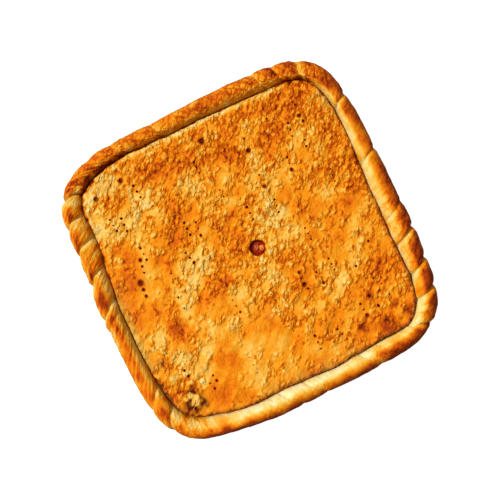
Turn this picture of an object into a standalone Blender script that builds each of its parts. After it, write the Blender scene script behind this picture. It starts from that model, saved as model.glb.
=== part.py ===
# Bread dough empanada: a square family pie, baked flat on a sheet.
# A case of dough carries the pie and its edge is rolled over into a rope.
# A sheet of dough, the lid, lies inside the rope, pricked with a fork.
# A little of the filling shows through a round vent in the lid.
# Metres, +Z up, with the origin at the middle of the underside.

import math

import bmesh
import bpy
import numpy as np
from mathutils import Vector, noise
from mathutils.geometry import delaunay_2d_cdt

# The rope of dough round the edge, by its centre line
ROPE_REACH = 0.157          # from the pie's middle to the rope's centre line
ROPE_SQUARENESS = 5.5       # power of the rounded square that the line follows
ROPE_OUT = 0.0112           # from the centre line to the outer side
ROPE_IN = 0.0102            # from the centre line to the crease
ROPE_MID = 0.013            # height of its widest place
ROPE_CREST = 0.016          # from there to the top
CREASE_ANGLE = math.radians(168)
FOOT_IN = 0.0045            # how far the foot draws in under the outer side
UNEVEN_SIDES = 0.0006       # how much the hand-rolled sides wander
UNEVEN_CREST = 0.0009       # and the crest

# Places where the rim was pushed while it was folded: x, y, amount, spread
PUSHED_OUT = (
    (-0.163, 0.085, -0.0065, 0.042),
    (0.148, 0.148, 0.0045, 0.030),
    (-0.146, 0.146, -0.0030, 0.030),
    (0.166, -0.095, -0.0032, 0.034),
    (-0.164, 0.048, -0.0030, 0.018),
    (-0.115, -0.163, -0.0055, 0.048),
)
PUSHED_IN = (
    (-0.147, 0.085, 0.0095, 0.040),
    (-0.147, -0.040, -0.0020, 0.050),
    (-0.065, 0.147, -0.0045, 0.050),
    (0.020, 0.147, -0.0020, 0.040),
    (0.148, 0.085, -0.0035, 0.040),
    (0.147, -0.060, 0.0038, 0.070),
    (-0.112, -0.140, 0.0070, 0.034),
    (0.134, 0.134, -0.0060, 0.030),
    (0.028, -0.148, -0.0028, 0.020),
    (0.118, -0.143, -0.0035, 0.022),
    (-0.035, -0.147, 0.0018, 0.022),
    (-0.147, 0.036, 0.0022, 0.014),
)

# Seams between the folds of the rope, where each crosses the top: x, y, depth
SEAMS = (
    (-0.158, -0.092, 0.5), (-0.156, -0.001, 0.3), (-0.158, 0.012, 0.8),
    (-0.153, 0.049, 1.0), (-0.152, 0.082, 0.9), (-0.149, 0.110, 0.7),
    (-0.137, 0.134, 1.3), (-0.121, 0.150, 0.5), (-0.102, 0.157, 0.35),
    (-0.073, 0.158, 0.45), (-0.028, 0.157, 0.4), (0.090, 0.158, 0.7),
    (0.112, 0.158, 0.6), (0.134, 0.149, 0.6), (0.154, 0.099, 0.8),
    (0.158, 0.035, 0.8), (0.157, -0.029, 0.5), (0.157, -0.057, 1.1),
    (0.154, -0.092, 0.9), (0.151, -0.122, 1.2), (0.126, -0.147, 0.8),
    (0.065, -0.157, 0.6), (0.000, -0.157, 0.5), (-0.028, -0.157, 0.5),
    (-0.092, -0.155, 0.3), (-0.152, -0.119, 0.7),
)
SEAM_DEPTH = 0.0024
SEAM_WIDTH = 0.0022
SEAM_SHOULDER = 1.3         # where a seam has flattened out, in seam widths
FOLD_SWELL = 0.0017         # how far a fold stands out between its seams
FOLD_RUN = 0.015            # length along the rope that a seam takes to cross it
FOLD_RUN_WEST = 0.003       # the seams slant more on the west side by this
FOLD_RUN_SOUTH = 0.004      # and on the south side by this

# The sheet of dough that covers the pie
SHELF = 0.0157              # height of the case under the lid's edge
SHELF_INSET = 0.0010        # from the crease's foot to the flat of the case
REST_GAP = 0.0003
LID_THICKNESS = 0.0063
LID_RISE = 0.0040           # the filling lifts the middle by this
LID_REACH = 0.147
LID_CLEAR = 0.0013          # open crease between the rope and the lid's edge
LID_SHOULDER = 0.0045       # width of the lid's rounded edge
LID_EDGE = (                # the edge's rings: how far in, share of the thickness
    (0.0008, 0.0), (0.0, 0.18), (0.0002, 0.55), (0.0016, 0.86),
)
BUMP_BROAD = 0.0013
BUMP_SMALL = 0.0008

# The vent, and the well in the case that holds what shows through it
VENT_AT = (0.0110, 0.0007)
VENT_RADIUS = 0.0083
VENT_LIP = 0.0012           # the vent's rounded lip: its width and its drop
VENT_RAGGED = 0.05          # how uneven the cut is, as a share of the radius
WELL_RADIUS = 0.0125
WELL_DEPTH = 0.0050
FILLING_RADIUS = 0.0118
HEAP_RADIUS = 0.0070        # the part of the filling that rises into the vent
HEAP_RISE = 0.0032
HEAP_RINGS = (1, 0.85, 0.6, 0.3)

# Marks of a three-tined fork: the middle tine's x and y, and the hole's radius
TINE_PITCH = 0.0068
TINE_LEAN = 0.0006          # how far the holes of a mark stray from their line
PRICK_DEPTH = 0.0032
PRICK_SMALL = 0.0009
PRICK_WIDE = 0.0015
PRICKS_SMALL = (
    (-0.0755, 0.110), (-0.1140, 0.0895), (-0.1030, 0.0845), (-0.0085, 0.104),
    (0.0970, 0.0960), (0.0805, 0.0645), (0.1050, 0.0765), (-0.0985, 0.048),
    (-0.0800, 0.0105), (-0.0560, 0.0230), (-0.0463, 0.0513), (-0.0355, 0.046),
    (0.0203, 0.0365), (0.0485, 0.0310), (0.0655, -0.0100), (0.0723, -0.0495),
    (0.1155, 0.0335), (-0.0360, -0.0445), (0.0025, -0.0565), (-0.0960, -0.105),
    (0.0235, -0.1160), (0.0500, -0.1200), (-0.0478, -0.1050), (0.1100, -0.098),
)
PRICKS_WIDE = (
    (0.0480, 0.1025), (0.0465, 0.0615), (0.1125, 0.1055), (-0.1060, 0.0375),
    (-0.1155, 0.0148), (0.0377, -0.0525), (0.0815, -0.1070),
)
SINGLE_HOLES = (
    (-0.1180, 0.1220, 0.0022), (-0.0860, 0.1280, 0.0018), (0.0080, 0.1270, 0.0027),
)

# How finely the surfaces are cut up
STATION_STEP = 0.0098
ROPE_STEPS = 11
FOOT_RINGS = (1.0, 0.85, 0.4)
LID_STEP = 0.0068
HIDDEN_STEP = 0.028
UNDERSIDE_STEP = 0.0392
EDGE_CLEAR = 0.6            # least distance from an edge, in steps
HOLE_CLEAR = 0.45           # and from a hole's rim
WELL_SIDES = 20
PRICK_SIDES = 6

# Colours of the pieces, for a plain view of the solids
CASE_COLOUR = (0.72, 0.34, 0.07)
LID_COLOUR = (0.82, 0.41, 0.08)
FILLING_COLOUR = (0.42, 0.12, 0.05)


def clear_scene():
    """Take away whatever the scene holds before the pie is made."""
    for item in list(bpy.data.objects):
        bpy.data.objects.remove(item, do_unlink=True)


def centre_line():
    """Fine points of the rope's centre line, clockwise, with their arc lengths."""
    turn = np.linspace(math.pi, -math.pi, 4001)
    wide = np.abs(np.cos(turn)) ** ROPE_SQUARENESS
    tall = np.abs(np.sin(turn)) ** ROPE_SQUARENESS
    reach = ROPE_REACH / (wide + tall) ** (1 / ROPE_SQUARENESS)
    x, y = reach * np.cos(turn), reach * np.sin(turn)
    arc = np.concatenate([[0], np.cumsum(np.hypot(np.diff(x), np.diff(y)))])
    return x, y, arc


LINE_X, LINE_Y, LINE_ARC = centre_line()
ROUND_TRIP = float(LINE_ARC[-1])


def at_arc(arc):
    """The centre line's point and outward normal at an arc length."""
    def point(s):
        s = s % ROUND_TRIP
        return np.interp(s, LINE_ARC, LINE_X), np.interp(s, LINE_ARC, LINE_Y)
    x, y = point(arc)
    ahead_x, ahead_y = point(arc + 0.002)
    back_x, back_y = point(arc - 0.002)
    along_x, along_y = ahead_x - back_x, ahead_y - back_y
    size = math.hypot(along_x, along_y)
    return (x, y), (-along_y / size, along_x / size)


def arc_nearest(x, y):
    """Arc length of the centre line's point nearest to a place."""
    return float(LINE_ARC[np.argmin(np.hypot(LINE_X - x, LINE_Y - y))])


def pushed(x, y, places):
    """Sum of the soft pushes at a place."""
    return sum(
        amount * math.exp(-((x - px) ** 2 + (y - py) ** 2) / spread ** 2)
        for px, py, amount, spread in places
    )


def wander(x, y, z, size):
    """Slow unevenness of hand-worked dough, from -1 to 1."""
    return noise.noise(Vector((x, y, z)) / size)


def seam_table():
    """Arc lengths and depths of the seams, in order round the rope."""
    return sorted((arc_nearest(x, y), depth) for x, y, depth in SEAMS)


SEAM_ARCS = seam_table()


def fold_relief(u):
    """How far the folded rope stands out from a plain roll, at fold place u."""
    u = u % ROUND_TRIP
    after = [seam for seam in SEAM_ARCS if seam[0] > u]
    before = [seam for seam in SEAM_ARCS if seam[0] <= u]
    low = before[-1] if before else (SEAM_ARCS[-1][0] - ROUND_TRIP, SEAM_ARCS[-1][1])
    high = after[0] if after else (SEAM_ARCS[0][0] + ROUND_TRIP, SEAM_ARCS[0][1])
    share = (u - low[0]) / (high[0] - low[0])
    strength = low[1] * (1 - share) + high[1] * share
    relief = FOLD_SWELL * strength * math.sin(math.pi * share) ** 0.6
    for place, depth in (low, high):
        relief -= SEAM_DEPTH * depth * math.exp(-((u - place) / SEAM_WIDTH) ** 2)
    return relief


def fold_run(u):
    """Length along the rope that a seam takes to cross from outside to crease."""
    (x, y), _ = at_arc(u)
    return FOLD_RUN - (FOLD_RUN_WEST * x + FOLD_RUN_SOUTH * y) / ROPE_REACH


def rope_frame(u, angle):
    """Centre, outward normal and half widths of the rope where a fold line lies."""
    arc = u - 0.5 * math.cos(angle) * fold_run(u)
    (x, y), (nx, ny) = at_arc(arc)
    out = ROPE_OUT + pushed(x, y, PUSHED_OUT) + UNEVEN_SIDES * wander(x, y, 0.1, 0.035)
    crease = ROPE_IN + pushed(x, y, PUSHED_IN) + UNEVEN_SIDES * wander(x, y, 0.3, 0.022)
    return (x, y), (nx, ny), out, crease


def rope_point(u, angle):
    """A point of the rope: angle 0 is its outer side, 90 degrees its crest."""
    (x, y), (nx, ny), out, crease = rope_frame(u, angle)
    relief = fold_relief(u)
    lift = relief + UNEVEN_CREST * wander(x, y, 0.5, 0.045)
    if math.cos(angle) >= 0:
        side = (out + relief) * math.cos(angle)
    else:
        side = (crease + relief * math.sqrt(math.sin(angle))) * math.cos(angle)
    height = ROPE_MID + (ROPE_CREST + lift) * math.sin(angle)
    return (x + nx * side, y + ny * side, height)


def foot_point(u, share):
    """A point between the rope's widest place, share 0, and the sheet it bakes on."""
    (x, y), (nx, ny), out, _ = rope_frame(u, 0.0)
    side = out + fold_relief(u) * (1 - share) ** 2 - FOOT_IN * share ** 2.5
    return (x + nx * side, y + ny * side, ROPE_MID * (1 - share))


def inside_point(u, inward, height):
    """A point inside the crease, at its height over the shelf or its own height."""
    (x, y), (nx, ny), _, crease = rope_frame(u, CREASE_ANGLE)
    side = -crease - inward
    px, py = x + nx * side, y + ny * side
    return (px, py, height(px, py))


def stations():
    """Fold places round the rope, close together at the seams."""
    places = []
    for index, (place, _) in enumerate(SEAM_ARCS):
        following = SEAM_ARCS[(index + 1) % len(SEAM_ARCS)][0]
        gap = (following - place) % ROUND_TRIP
        near = min(SEAM_SHOULDER * SEAM_WIDTH, gap / 4)
        count = max(2, round((gap - 2 * near) / STATION_STEP))
        places += [place, place + near]
        places += [place + near + (gap - 2 * near) * step / count for step in range(1, count + 1)]
    return places


def plateau(x, y):
    """How much of the lid's full rise a place has."""
    wide = 1 - min(1, abs(x) / LID_REACH) ** 3
    tall = 1 - min(1, abs(y) / LID_REACH) ** 3
    return wide * tall


def shelf_height(x, y):
    """Top of the case under the lid."""
    return SHELF + LID_RISE * plateau(x, y)


def lid_under(x, y):
    """Underside of the lid, resting on the case."""
    return shelf_height(x, y) + REST_GAP


def lid_top(x, y):
    """Top of the lid, with the broad bumps of baked dough along its streaks."""
    along, across = (x + y) / math.sqrt(2), (y - x) / math.sqrt(2)
    broad = BUMP_BROAD * wander(along / 1.7, across, 0.9, 0.021)
    small = BUMP_SMALL * wander(along / 1.5, across, 1.7, 0.0095)
    return lid_under(x, y) + LID_THICKNESS + broad + small


def ring_round(x, y, radius, sides, height, ragged=0.0):
    """A level ring of points, a little ragged if asked."""
    points = []
    for step in range(sides):
        turn = 2 * math.pi * step / sides
        reach = radius * (1 + ragged * math.sin(3 * turn + 0.6) + ragged * math.sin(5 * turn))
        px, py = x + reach * math.cos(turn), y + reach * math.sin(turn)
        points.append((px, py, height(px, py)))
    return points


def inside_ring(x, y, ring):
    """Whether a place lies inside a closed ring of points."""
    inside = False
    for (ax, ay, *_), (bx, by, *_) in zip(ring, ring[1:] + ring[:1]):
        if (ay > y) != (by > y) and x < (bx - ax) * (y - ay) / (by - ay) + ax:
            inside = not inside
    return inside


class Body:
    """Points and faces of one closed piece."""

    def __init__(self):
        self.points = []
        self.faces = []

    def ring(self, points):
        """Add a ring of points and return their numbers."""
        first = len(self.points)
        self.points += points
        return list(range(first, len(self.points)))

    def band(self, lower, upper):
        """Join two rings of the same count with quads."""
        for index, corner in enumerate(lower):
            after = (index + 1) % len(lower)
            self.faces.append((corner, lower[after], upper[after], upper[index]))

    def sheet(self, outline, holes, loose, upward):
        """Fill an outline with triangles through loose points, leaving its holes open."""
        numbers = list(outline)
        for hole in holes:
            numbers += hole
        numbers += loose
        flat = [Vector(self.points[number][:2]) for number in numbers]
        edges, start = [], 0
        for loop in [outline, *holes]:
            count = len(loop)
            edges += [(start + step, start + (step + 1) % count) for step in range(count)]
            start += count
        found, _, triangles, source, _, _ = delaunay_2d_cdt(flat, edges, [], 0, 1e-7, True)
        border = [self.points[number] for number in outline]
        rims = [[self.points[number] for number in hole] for hole in holes]
        for triangle in triangles:
            middle = sum((found[corner] for corner in triangle), Vector((0, 0))) / 3
            if not inside_ring(middle.x, middle.y, border):
                continue
            if any(inside_ring(middle.x, middle.y, rim) for rim in rims):
                continue
            corners = [numbers[source[corner][0]] for corner in triangle]
            self.faces.append(corners if upward else corners[::-1])

    def fan(self, ring, peak, upward):
        """Close a ring on one point."""
        tip = len(self.points)
        self.points.append(peak)
        for index, corner in enumerate(ring):
            after = ring[(index + 1) % len(ring)]
            self.faces.append((corner, after, tip) if upward else (after, corner, tip))

    def make(self, name, colour, roughness):
        """Turn the piece into an object, shaded smooth, with its own material."""
        mesh = bpy.data.meshes.new(name)
        mesh.from_pydata(self.points, [], self.faces)
        work = bmesh.new()
        work.from_mesh(mesh)
        bmesh.ops.triangulate(work, faces=work.faces[:])
        bmesh.ops.recalc_face_normals(work, faces=work.faces[:])
        work.to_mesh(mesh)
        work.free()
        mesh.shade_smooth()
        mesh.set_sharp_from_angle(angle=math.radians(50))
        material = bpy.data.materials.new(name + "_dough")
        material.use_nodes = True
        shader = material.node_tree.nodes["Principled BSDF"]
        shader.inputs["Base Color"].default_value = (*colour, 1)
        shader.inputs["Roughness"].default_value = roughness
        shader.inputs["Metallic"].default_value = 0.0
        mesh.materials.append(material)
        piece = bpy.data.objects.new(name, mesh)
        bpy.context.collection.objects.link(piece)
        return piece


def honeycomb(step, border, holes):
    """Evenly spread places inside a border, clear of its edge and of the holes."""
    edge = np.array([point[:2] for point in border])
    rows = math.ceil(2 * ROPE_REACH / (step * math.sqrt(0.75)))
    places = []
    for row in range(rows):
        y = -ROPE_REACH + row * step * math.sqrt(0.75)
        for column in range(math.ceil(2 * ROPE_REACH / step)):
            x = -ROPE_REACH + (column + 0.5 * (row % 2)) * step
            if not inside_ring(x, y, border):
                continue
            if np.min(np.hypot(edge[:, 0] - x, edge[:, 1] - y)) < EDGE_CLEAR * step:
                continue
            rim = HOLE_CLEAR * step
            if any(math.hypot(x - hx, y - hy) < radius + rim for hx, hy, radius in holes):
                continue
            places.append((x, y))
    return places


def prick_holes():
    """Every hole that the fork left: x, y and radius."""
    holes = list(SINGLE_HOLES)
    for marks, radius in ((PRICKS_SMALL, PRICK_SMALL), (PRICKS_WIDE, PRICK_WIDE)):
        for x, y in marks:
            for tine in (-1, 0, 1):
                lean = TINE_LEAN * wander(x, y, tine, 0.01)
                holes.append((x + lean, y + tine * TINE_PITCH, radius))
    return holes


def make_case():
    """The bottom dough with its rolled rope, solid up to the lid, and the well."""
    case = Body()
    places = stations()
    rings = [case.ring([foot_point(u, share) for u in places]) for share in FOOT_RINGS]
    for step in range(ROPE_STEPS + 1):
        angle = CREASE_ANGLE * step / ROPE_STEPS
        rings.append(case.ring([rope_point(u, angle) for u in places]))
    rings.append(case.ring([inside_point(u, SHELF_INSET, shelf_height) for u in places]))
    for lower, upper in zip(rings, rings[1:]):
        case.band(lower, upper)

    well_x, well_y = VENT_AT
    mouth = case.ring(ring_round(well_x, well_y, WELL_RADIUS, WELL_SIDES, shelf_height))
    floor_height = shelf_height(well_x, well_y) - WELL_DEPTH
    floor = case.ring([(x, y, floor_height) for x, y, _ in case.points[mouth[0]:mouth[-1] + 1]])
    case.band(mouth, floor)
    case.fan(floor, (well_x, well_y, floor_height), True)

    border = [case.points[number] for number in rings[-1]]
    spread = honeycomb(HIDDEN_STEP, border, [(well_x, well_y, WELL_RADIUS)])
    shelf = case.ring([(x, y, shelf_height(x, y)) for x, y in spread])
    case.sheet(rings[-1], [mouth], shelf, True)
    border = [case.points[number] for number in rings[0]]
    spread = honeycomb(UNDERSIDE_STEP, border, [])
    underside = case.ring([(x, y, 0.0) for x, y in spread])
    case.sheet(rings[0], [], underside, False)
    return case.make("case", CASE_COLOUR, 0.62)


def make_lid():
    """The covering sheet: rounded edge, bumps, fork holes and the vent."""
    lid = Body()
    places = stations()

    def edge_ring(inward, share_up):
        def height(x, y):
            return lid_under(x, y) + LID_THICKNESS * share_up
        return lid.ring([inside_point(u, LID_CLEAR + inward, height) for u in places])

    rings = [edge_ring(inward, share_up) for inward, share_up in LID_EDGE]
    rings.append(lid.ring([inside_point(u, LID_CLEAR + LID_SHOULDER, lid_top) for u in places]))
    for lower, upper in zip(rings, rings[1:]):
        lid.band(lower, upper)

    vent_x, vent_y = VENT_AT
    holes = prick_holes()
    border = [lid.points[number] for number in rings[-1]]

    def vent_ring(radius, height):
        return lid.ring(ring_round(vent_x, vent_y, radius, WELL_SIDES, height, VENT_RAGGED))

    lip = vent_ring(VENT_RADIUS + VENT_LIP, lid_top)
    wall = vent_ring(VENT_RADIUS, lambda x, y: lid_top(x, y) - VENT_LIP)
    base = vent_ring(VENT_RADIUS, lid_under)
    lid.band(lip, wall)
    lid.band(wall, base)

    loose = []
    for x, y, radius in holes:
        loose += lid.ring(ring_round(x, y, radius, PRICK_SIDES, lid_top))
        loose += lid.ring([(x, y, lid_top(x, y) - PRICK_DEPTH)])
    clear = [*holes, (vent_x, vent_y, VENT_RADIUS)]
    spread = honeycomb(LID_STEP, border, clear)
    loose += lid.ring([(x, y, lid_top(x, y)) for x, y in spread])
    lid.sheet(rings[-1], [lip], loose, True)

    border = [lid.points[number] for number in rings[0]]
    spread = honeycomb(HIDDEN_STEP, border, [(vent_x, vent_y, VENT_RADIUS)])
    hidden = lid.ring([(x, y, lid_under(x, y)) for x, y in spread])
    lid.sheet(rings[0], [base], hidden, False)
    return lid.make("lid", LID_COLOUR, 0.58)


def make_filling():
    """Cooked filling in the well, heaped up into the vent."""
    filling = Body()
    x, y = VENT_AT
    floor_height = shelf_height(x, y) - WELL_DEPTH + REST_GAP

    def heap(px, py):
        near = max(0.0, 1 - (math.hypot(px - x, py - y) / HEAP_RADIUS) ** 4)
        lumps = 1 + 0.5 * wander(px, py, 2.3, 0.004)
        return shelf_height(px, py) + HEAP_RISE * near * lumps

    rings = [filling.ring(ring_round(x, y, FILLING_RADIUS, WELL_SIDES, lambda px, py: floor_height))]
    for radius in (FILLING_RADIUS, *(HEAP_RADIUS * share for share in HEAP_RINGS)):
        rings.append(filling.ring(ring_round(x, y, radius, WELL_SIDES, heap)))
    for lower, upper in zip(rings, rings[1:]):
        filling.band(lower, upper)
    filling.fan(rings[-1], (x, y, heap(x, y)), True)
    filling.fan(rings[0], (x, y, floor_height), False)
    return filling.make("filling", FILLING_COLOUR, 0.45)


def centre_on_origin(pieces):
    """Shift the pie so that the middle of its box stands over the origin."""
    corners = [vertex.co for piece in pieces for vertex in piece.data.vertices]
    middle = [
        (min(corner[axis] for corner in corners) + max(corner[axis] for corner in corners)) / 2
        for axis in (0, 1)
    ]
    for piece in pieces:
        for vertex in piece.data.vertices:
            vertex.co.x -= middle[0]
            vertex.co.y -= middle[1]


clear_scene()
centre_on_origin([make_case(), make_lid(), make_filling()])
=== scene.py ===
import math

import bmesh
import bpy
import numpy as np
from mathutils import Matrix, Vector, noise
from mathutils.geometry import delaunay_2d_cdt
from mathutils.kdtree import KDTree


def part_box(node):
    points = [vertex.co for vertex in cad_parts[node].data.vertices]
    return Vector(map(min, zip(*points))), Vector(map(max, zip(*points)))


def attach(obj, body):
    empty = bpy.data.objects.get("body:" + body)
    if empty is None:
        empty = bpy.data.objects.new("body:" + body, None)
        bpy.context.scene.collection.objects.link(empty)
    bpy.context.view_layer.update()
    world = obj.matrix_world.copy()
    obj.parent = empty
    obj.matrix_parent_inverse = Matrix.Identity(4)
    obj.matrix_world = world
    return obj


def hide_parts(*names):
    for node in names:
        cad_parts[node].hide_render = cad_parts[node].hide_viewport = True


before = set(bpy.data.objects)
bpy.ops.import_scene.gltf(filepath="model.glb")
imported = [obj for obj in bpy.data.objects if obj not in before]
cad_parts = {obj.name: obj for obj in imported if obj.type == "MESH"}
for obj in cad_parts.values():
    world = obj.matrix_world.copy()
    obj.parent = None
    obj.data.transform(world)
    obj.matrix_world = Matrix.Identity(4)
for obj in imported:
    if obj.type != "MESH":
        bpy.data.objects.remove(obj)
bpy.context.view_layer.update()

# The case: one sheet of bread dough under the whole pie, its edge rolled over
# and twisted into a rope by hand, fold after fold, to shut the pie.
MM = 0.001

# The rope runs on a square with round corners. Its widths are from that line.
ROPE_REACH = 157 * MM
ROPE_SQUARENESS = 5.5
ROPE_OUT = 11.2 * MM
ROPE_IN = 10.2 * MM
ROPE_MID = 13 * MM
ROPE_CREST = 16 * MM
CREASE_ANGLE = math.radians(168)
FOOT_IN = 4.5 * MM
SOLE_SHARE = 0.985

# The dough under the lid rises a little to the middle, with a well below the vent
SHELF = 15.7 * MM
SHELF_RISE = 4.0 * MM
SHELF_REACH = 147 * MM
WELL_AT = (11.0 * MM, 0.7 * MM)
WELL_RADIUS = 12.5 * MM
WELL_DEPTH = 5.0 * MM

# Where hands pushed the rim while folding it, in mm: x, y, amount, spread
PUSHED_OUT = (
    (-163, 85, -6.5, 42), (148, 148, 4.5, 30), (-146, 146, -3.0, 30), (150, -150, -1.0, 30),
    (166, -95, -3.2, 34), (-164, 48, -3.0, 18), (-115, -163, -5.5, 48),
)
PUSHED_IN = (
    (-147, 85, 9.5, 40), (-147, -40, -2.0, 50), (-65, 147, -4.5, 50), (20, 147, -2.0, 40),
    (148, 85, -3.5, 40), (147, -60, 3.8, 70), (-112, -140, 7.0, 34), (134, 134, -6.0, 30),
    (28, -148, -2.8, 20), (118, -143, -3.5, 22), (-35, -147, 1.8, 22), (-147, 36, 2.2, 14),
)

# Seams between the folds: x and y in mm where each crosses the top, and its share of depth
SEAMS = (
    (-158, -92, 0.5), (-156, -1, 0.3), (-158, 12, 0.8), (-153, 49, 1.0), (-152, 82, 0.9),
    (-149, 110, 0.7), (-137, 134, 1.3), (-121, 150, 0.5), (-102, 157, 0.35), (-73, 158, 0.45),
    (-28, 157, 0.4), (90, 158, 0.7), (112, 158, 0.6), (134, 149, 0.6), (154, 99, 0.8), (158, 35, 0.8),
    (157, -29, 0.5), (157, -57, 1.1), (154, -92, 0.9), (151, -122, 1.2), (126, -147, 0.8),
    (65, -157, 0.6), (0, -157, 0.5), (-28, -157, 0.5), (-92, -155, 0.3), (-152, -119, 0.7),
)
SEAM_DEPTH = 2.1 * MM
SEAM_WIDTH = 2.2 * MM
SEAM_CUT = 1.3 * MM
SEAM_CUT_WIDTH = 1.1 * MM
SEAM_SOFT = 4.0 * MM
FOLD_SWELL = 1.7 * MM

# Each seam crosses the rope at a slant, over a run that is shorter to the north-east
FOLD_RUN = 15 * MM
FOLD_RUN_WEST = 3 * MM
FOLD_RUN_SOUTH = 4 * MM

# Where the rope's skin is most wrinkled: x, y, amount, spread, all but the amount in mm
WRINKLED = (
    (-130, 148, 1.7, 24), (-153, 60, 0.9, 40), (-160, -20, 0.6, 30), (-90, 160, 1.0, 30),
    (-40, 158, 0.6, 30), (150, 120, 0.6, 26), (95, -160, 0.4, 24), (60, 160, 0.5, 40),
)

# Relief of the rope's skin, from fine to broad: how high and how wide
LINE_RISE, LINE_SIZE = 0.42 * MM, 2.3 * MM
PIMPLE_RISE, PIMPLE_SIZE = 0.40 * MM, 2.6 * MM
FOLD_RISE, FOLD_SIZE = 0.75 * MM, 4.6 * MM
SWAY_RISE, SWAY_SIZE = 0.75 * MM, 9 * MM
ROLL_RISE, ROLL_SIZE = 0.9 * MM, 45 * MM
STRETCH_REACH = 9 * MM
STRETCH_SLANT_NORTH, STRETCH_SLANT_WEST = 25 * MM, 16 * MM

# Points round the rope, over it, and down its outer side. Flat parts have few.
ROPE_STATIONS = 1400
ROPE_ROWS = 46
FOOT_ROWS = 9
FLAT_STEP = 14 * MM

turn = np.linspace(math.pi, -math.pi, 4001)
reach = ROPE_REACH / (
    np.abs(np.cos(turn)) ** ROPE_SQUARENESS + np.abs(np.sin(turn)) ** ROPE_SQUARENESS
) ** (1 / ROPE_SQUARENESS)
line_x, line_y = reach * np.cos(turn), reach * np.sin(turn)
line_arc = np.concatenate([[0], np.cumsum(np.hypot(np.diff(line_x), np.diff(line_y)))])
ROUND_TRIP = float(line_arc[-1])


def on_line(arc):
    """The rope's line and its outward normal at arc lengths."""
    def place(s):
        s = s % ROUND_TRIP
        return np.interp(s, line_arc, line_x), np.interp(s, line_arc, line_y)
    near_by = 2 * MM
    x, y = place(arc)
    ahead_x, ahead_y = place(arc + near_by)
    back_x, back_y = place(arc - near_by)
    along_x, along_y = ahead_x - back_x, ahead_y - back_y
    size = np.hypot(along_x, along_y)
    return x, y, -along_y / size, along_x / size


def wander(x, y, z, size):
    """Unevenness of hand-worked dough, from about -1 to 1. Each z is another pattern."""
    x, y, z = np.broadcast_arrays(x, y, z)
    places = (np.stack([x, y, z], -1).reshape(-1, 3) / size).tolist()
    return np.array([noise.noise(place) for place in places]).reshape(x.shape)


def fade(far, reach, power=2):
    """Fades from 1 at no distance to 0 past a reach. A higher power has a sharper edge."""
    return np.exp(-np.abs(far / reach) ** power)


def eased(share):
    """A share from 0 to 1 that starts and stops softly."""
    return share * share * (3 - 2 * share)


def pushed(x, y, places):
    """Sum of soft pushes or patches at places. Their places and spreads are in mm."""
    total = np.zeros(np.broadcast(x, y).shape)
    for px, py, amount, spread in places:
        total += amount * fade(np.hypot(x - px * MM, y - py * MM), spread * MM)
    return total


seams = sorted(
    (float(line_arc[np.argmin(np.hypot(line_x - x * MM, line_y - y * MM))]), depth)
    for x, y, depth in SEAMS
)
(first_arc, first_depth), (last_arc, last_depth) = seams[0], seams[-1]
seams = [(last_arc - ROUND_TRIP, last_depth), *seams, (first_arc + ROUND_TRIP, first_depth)]
seam_arc, seam_deep = np.array(seams).T


def fold_place(u):
    """Share of the way from one seam to the next, their depth, and the nearest seam."""
    u = u % ROUND_TRIP
    after = np.clip(np.searchsorted(seam_arc, u, side="right"), 1, len(seam_arc) - 1)
    low, high = seam_arc[after - 1], seam_arc[after]
    share = (u - low) / (high - low)
    mild = seam_deep[after - 1] * (1 - share) + seam_deep[after] * share
    near = np.where(share < 0.5, u - low, u - high)
    depth = np.where(share < 0.5, seam_deep[after - 1], seam_deep[after])
    return share, mild, near, depth


def fold_relief(u, angle):
    """How far the folded rope stands out from a plain roll. Seams are softer outside."""
    share, mild, near, depth = fold_place(u)
    swell = FOLD_SWELL * mild * np.sin(np.pi * share) ** 0.6
    crisp = SEAM_DEPTH * depth * fade(near, SEAM_WIDTH)
    soft = 0.5 * SEAM_DEPTH * depth * fade(near, SEAM_SOFT)
    return swell - soft - (crisp - soft) * np.clip(2.2 * np.sin(angle) - 0.1, 0, 1)


def fold_run(u):
    """Length along the rope that a seam takes to cross it."""
    x, y, _, _ = on_line(u)
    return FOLD_RUN - (FOLD_RUN_WEST * x + FOLD_RUN_SOUTH * y) / ROPE_REACH


def rope_frame(u, angle):
    """Line, normal and half widths of the rope on the fold lines."""
    x, y, nx, ny = on_line(u - 0.5 * np.cos(angle) * fold_run(u))
    out = ROPE_OUT + MM * pushed(x, y, PUSHED_OUT) + 0.6 * MM * wander(x, y, 0.1, 35 * MM)
    crease = ROPE_IN + MM * pushed(x, y, PUSHED_IN) + 0.6 * MM * wander(x, y, 0.3, 22 * MM)
    return x, y, nx, ny, out, crease


def shelf_height(x, y):
    """Top of the case under the lid."""
    wide = 1 - np.minimum(1, np.abs(x) / SHELF_REACH) ** 3
    tall = 1 - np.minimum(1, np.abs(y) / SHELF_REACH) ** 3
    return SHELF + SHELF_RISE * wide * tall


def circle(x, y, radius, around):
    """Places on a circle, at angles."""
    return np.stack([x + radius * np.cos(around), y + radius * np.sin(around)], -1)


def raised(flat, height):
    """Flat places with a height for each, or one for all."""
    return np.column_stack([flat, np.broadcast_to(height, len(flat))])


def added(points, more):
    """Adds places to a piece's points, and gives their numbers."""
    start = sum(len(part) for part in points)
    points.append(more)
    return np.arange(start, start + len(more))


def band(lower, upper):
    """Quads between two rings of point numbers."""
    after_low, after_up = np.roll(lower, -1), np.roll(upper, -1)
    return np.stack([lower, after_low, after_up, upper], -1).tolist()


def quarter_band(fine, coarse):
    """Faces between a ring and one that has a quarter of its points."""
    faces = []
    for step in range(len(coarse)):
        edge = [int(fine[(4 * step + extra) % len(fine)]) for extra in range(5)]
        faces.append(edge + [int(coarse[(step + 1) % len(coarse)]), int(coarse[step])])
    return faces


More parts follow.
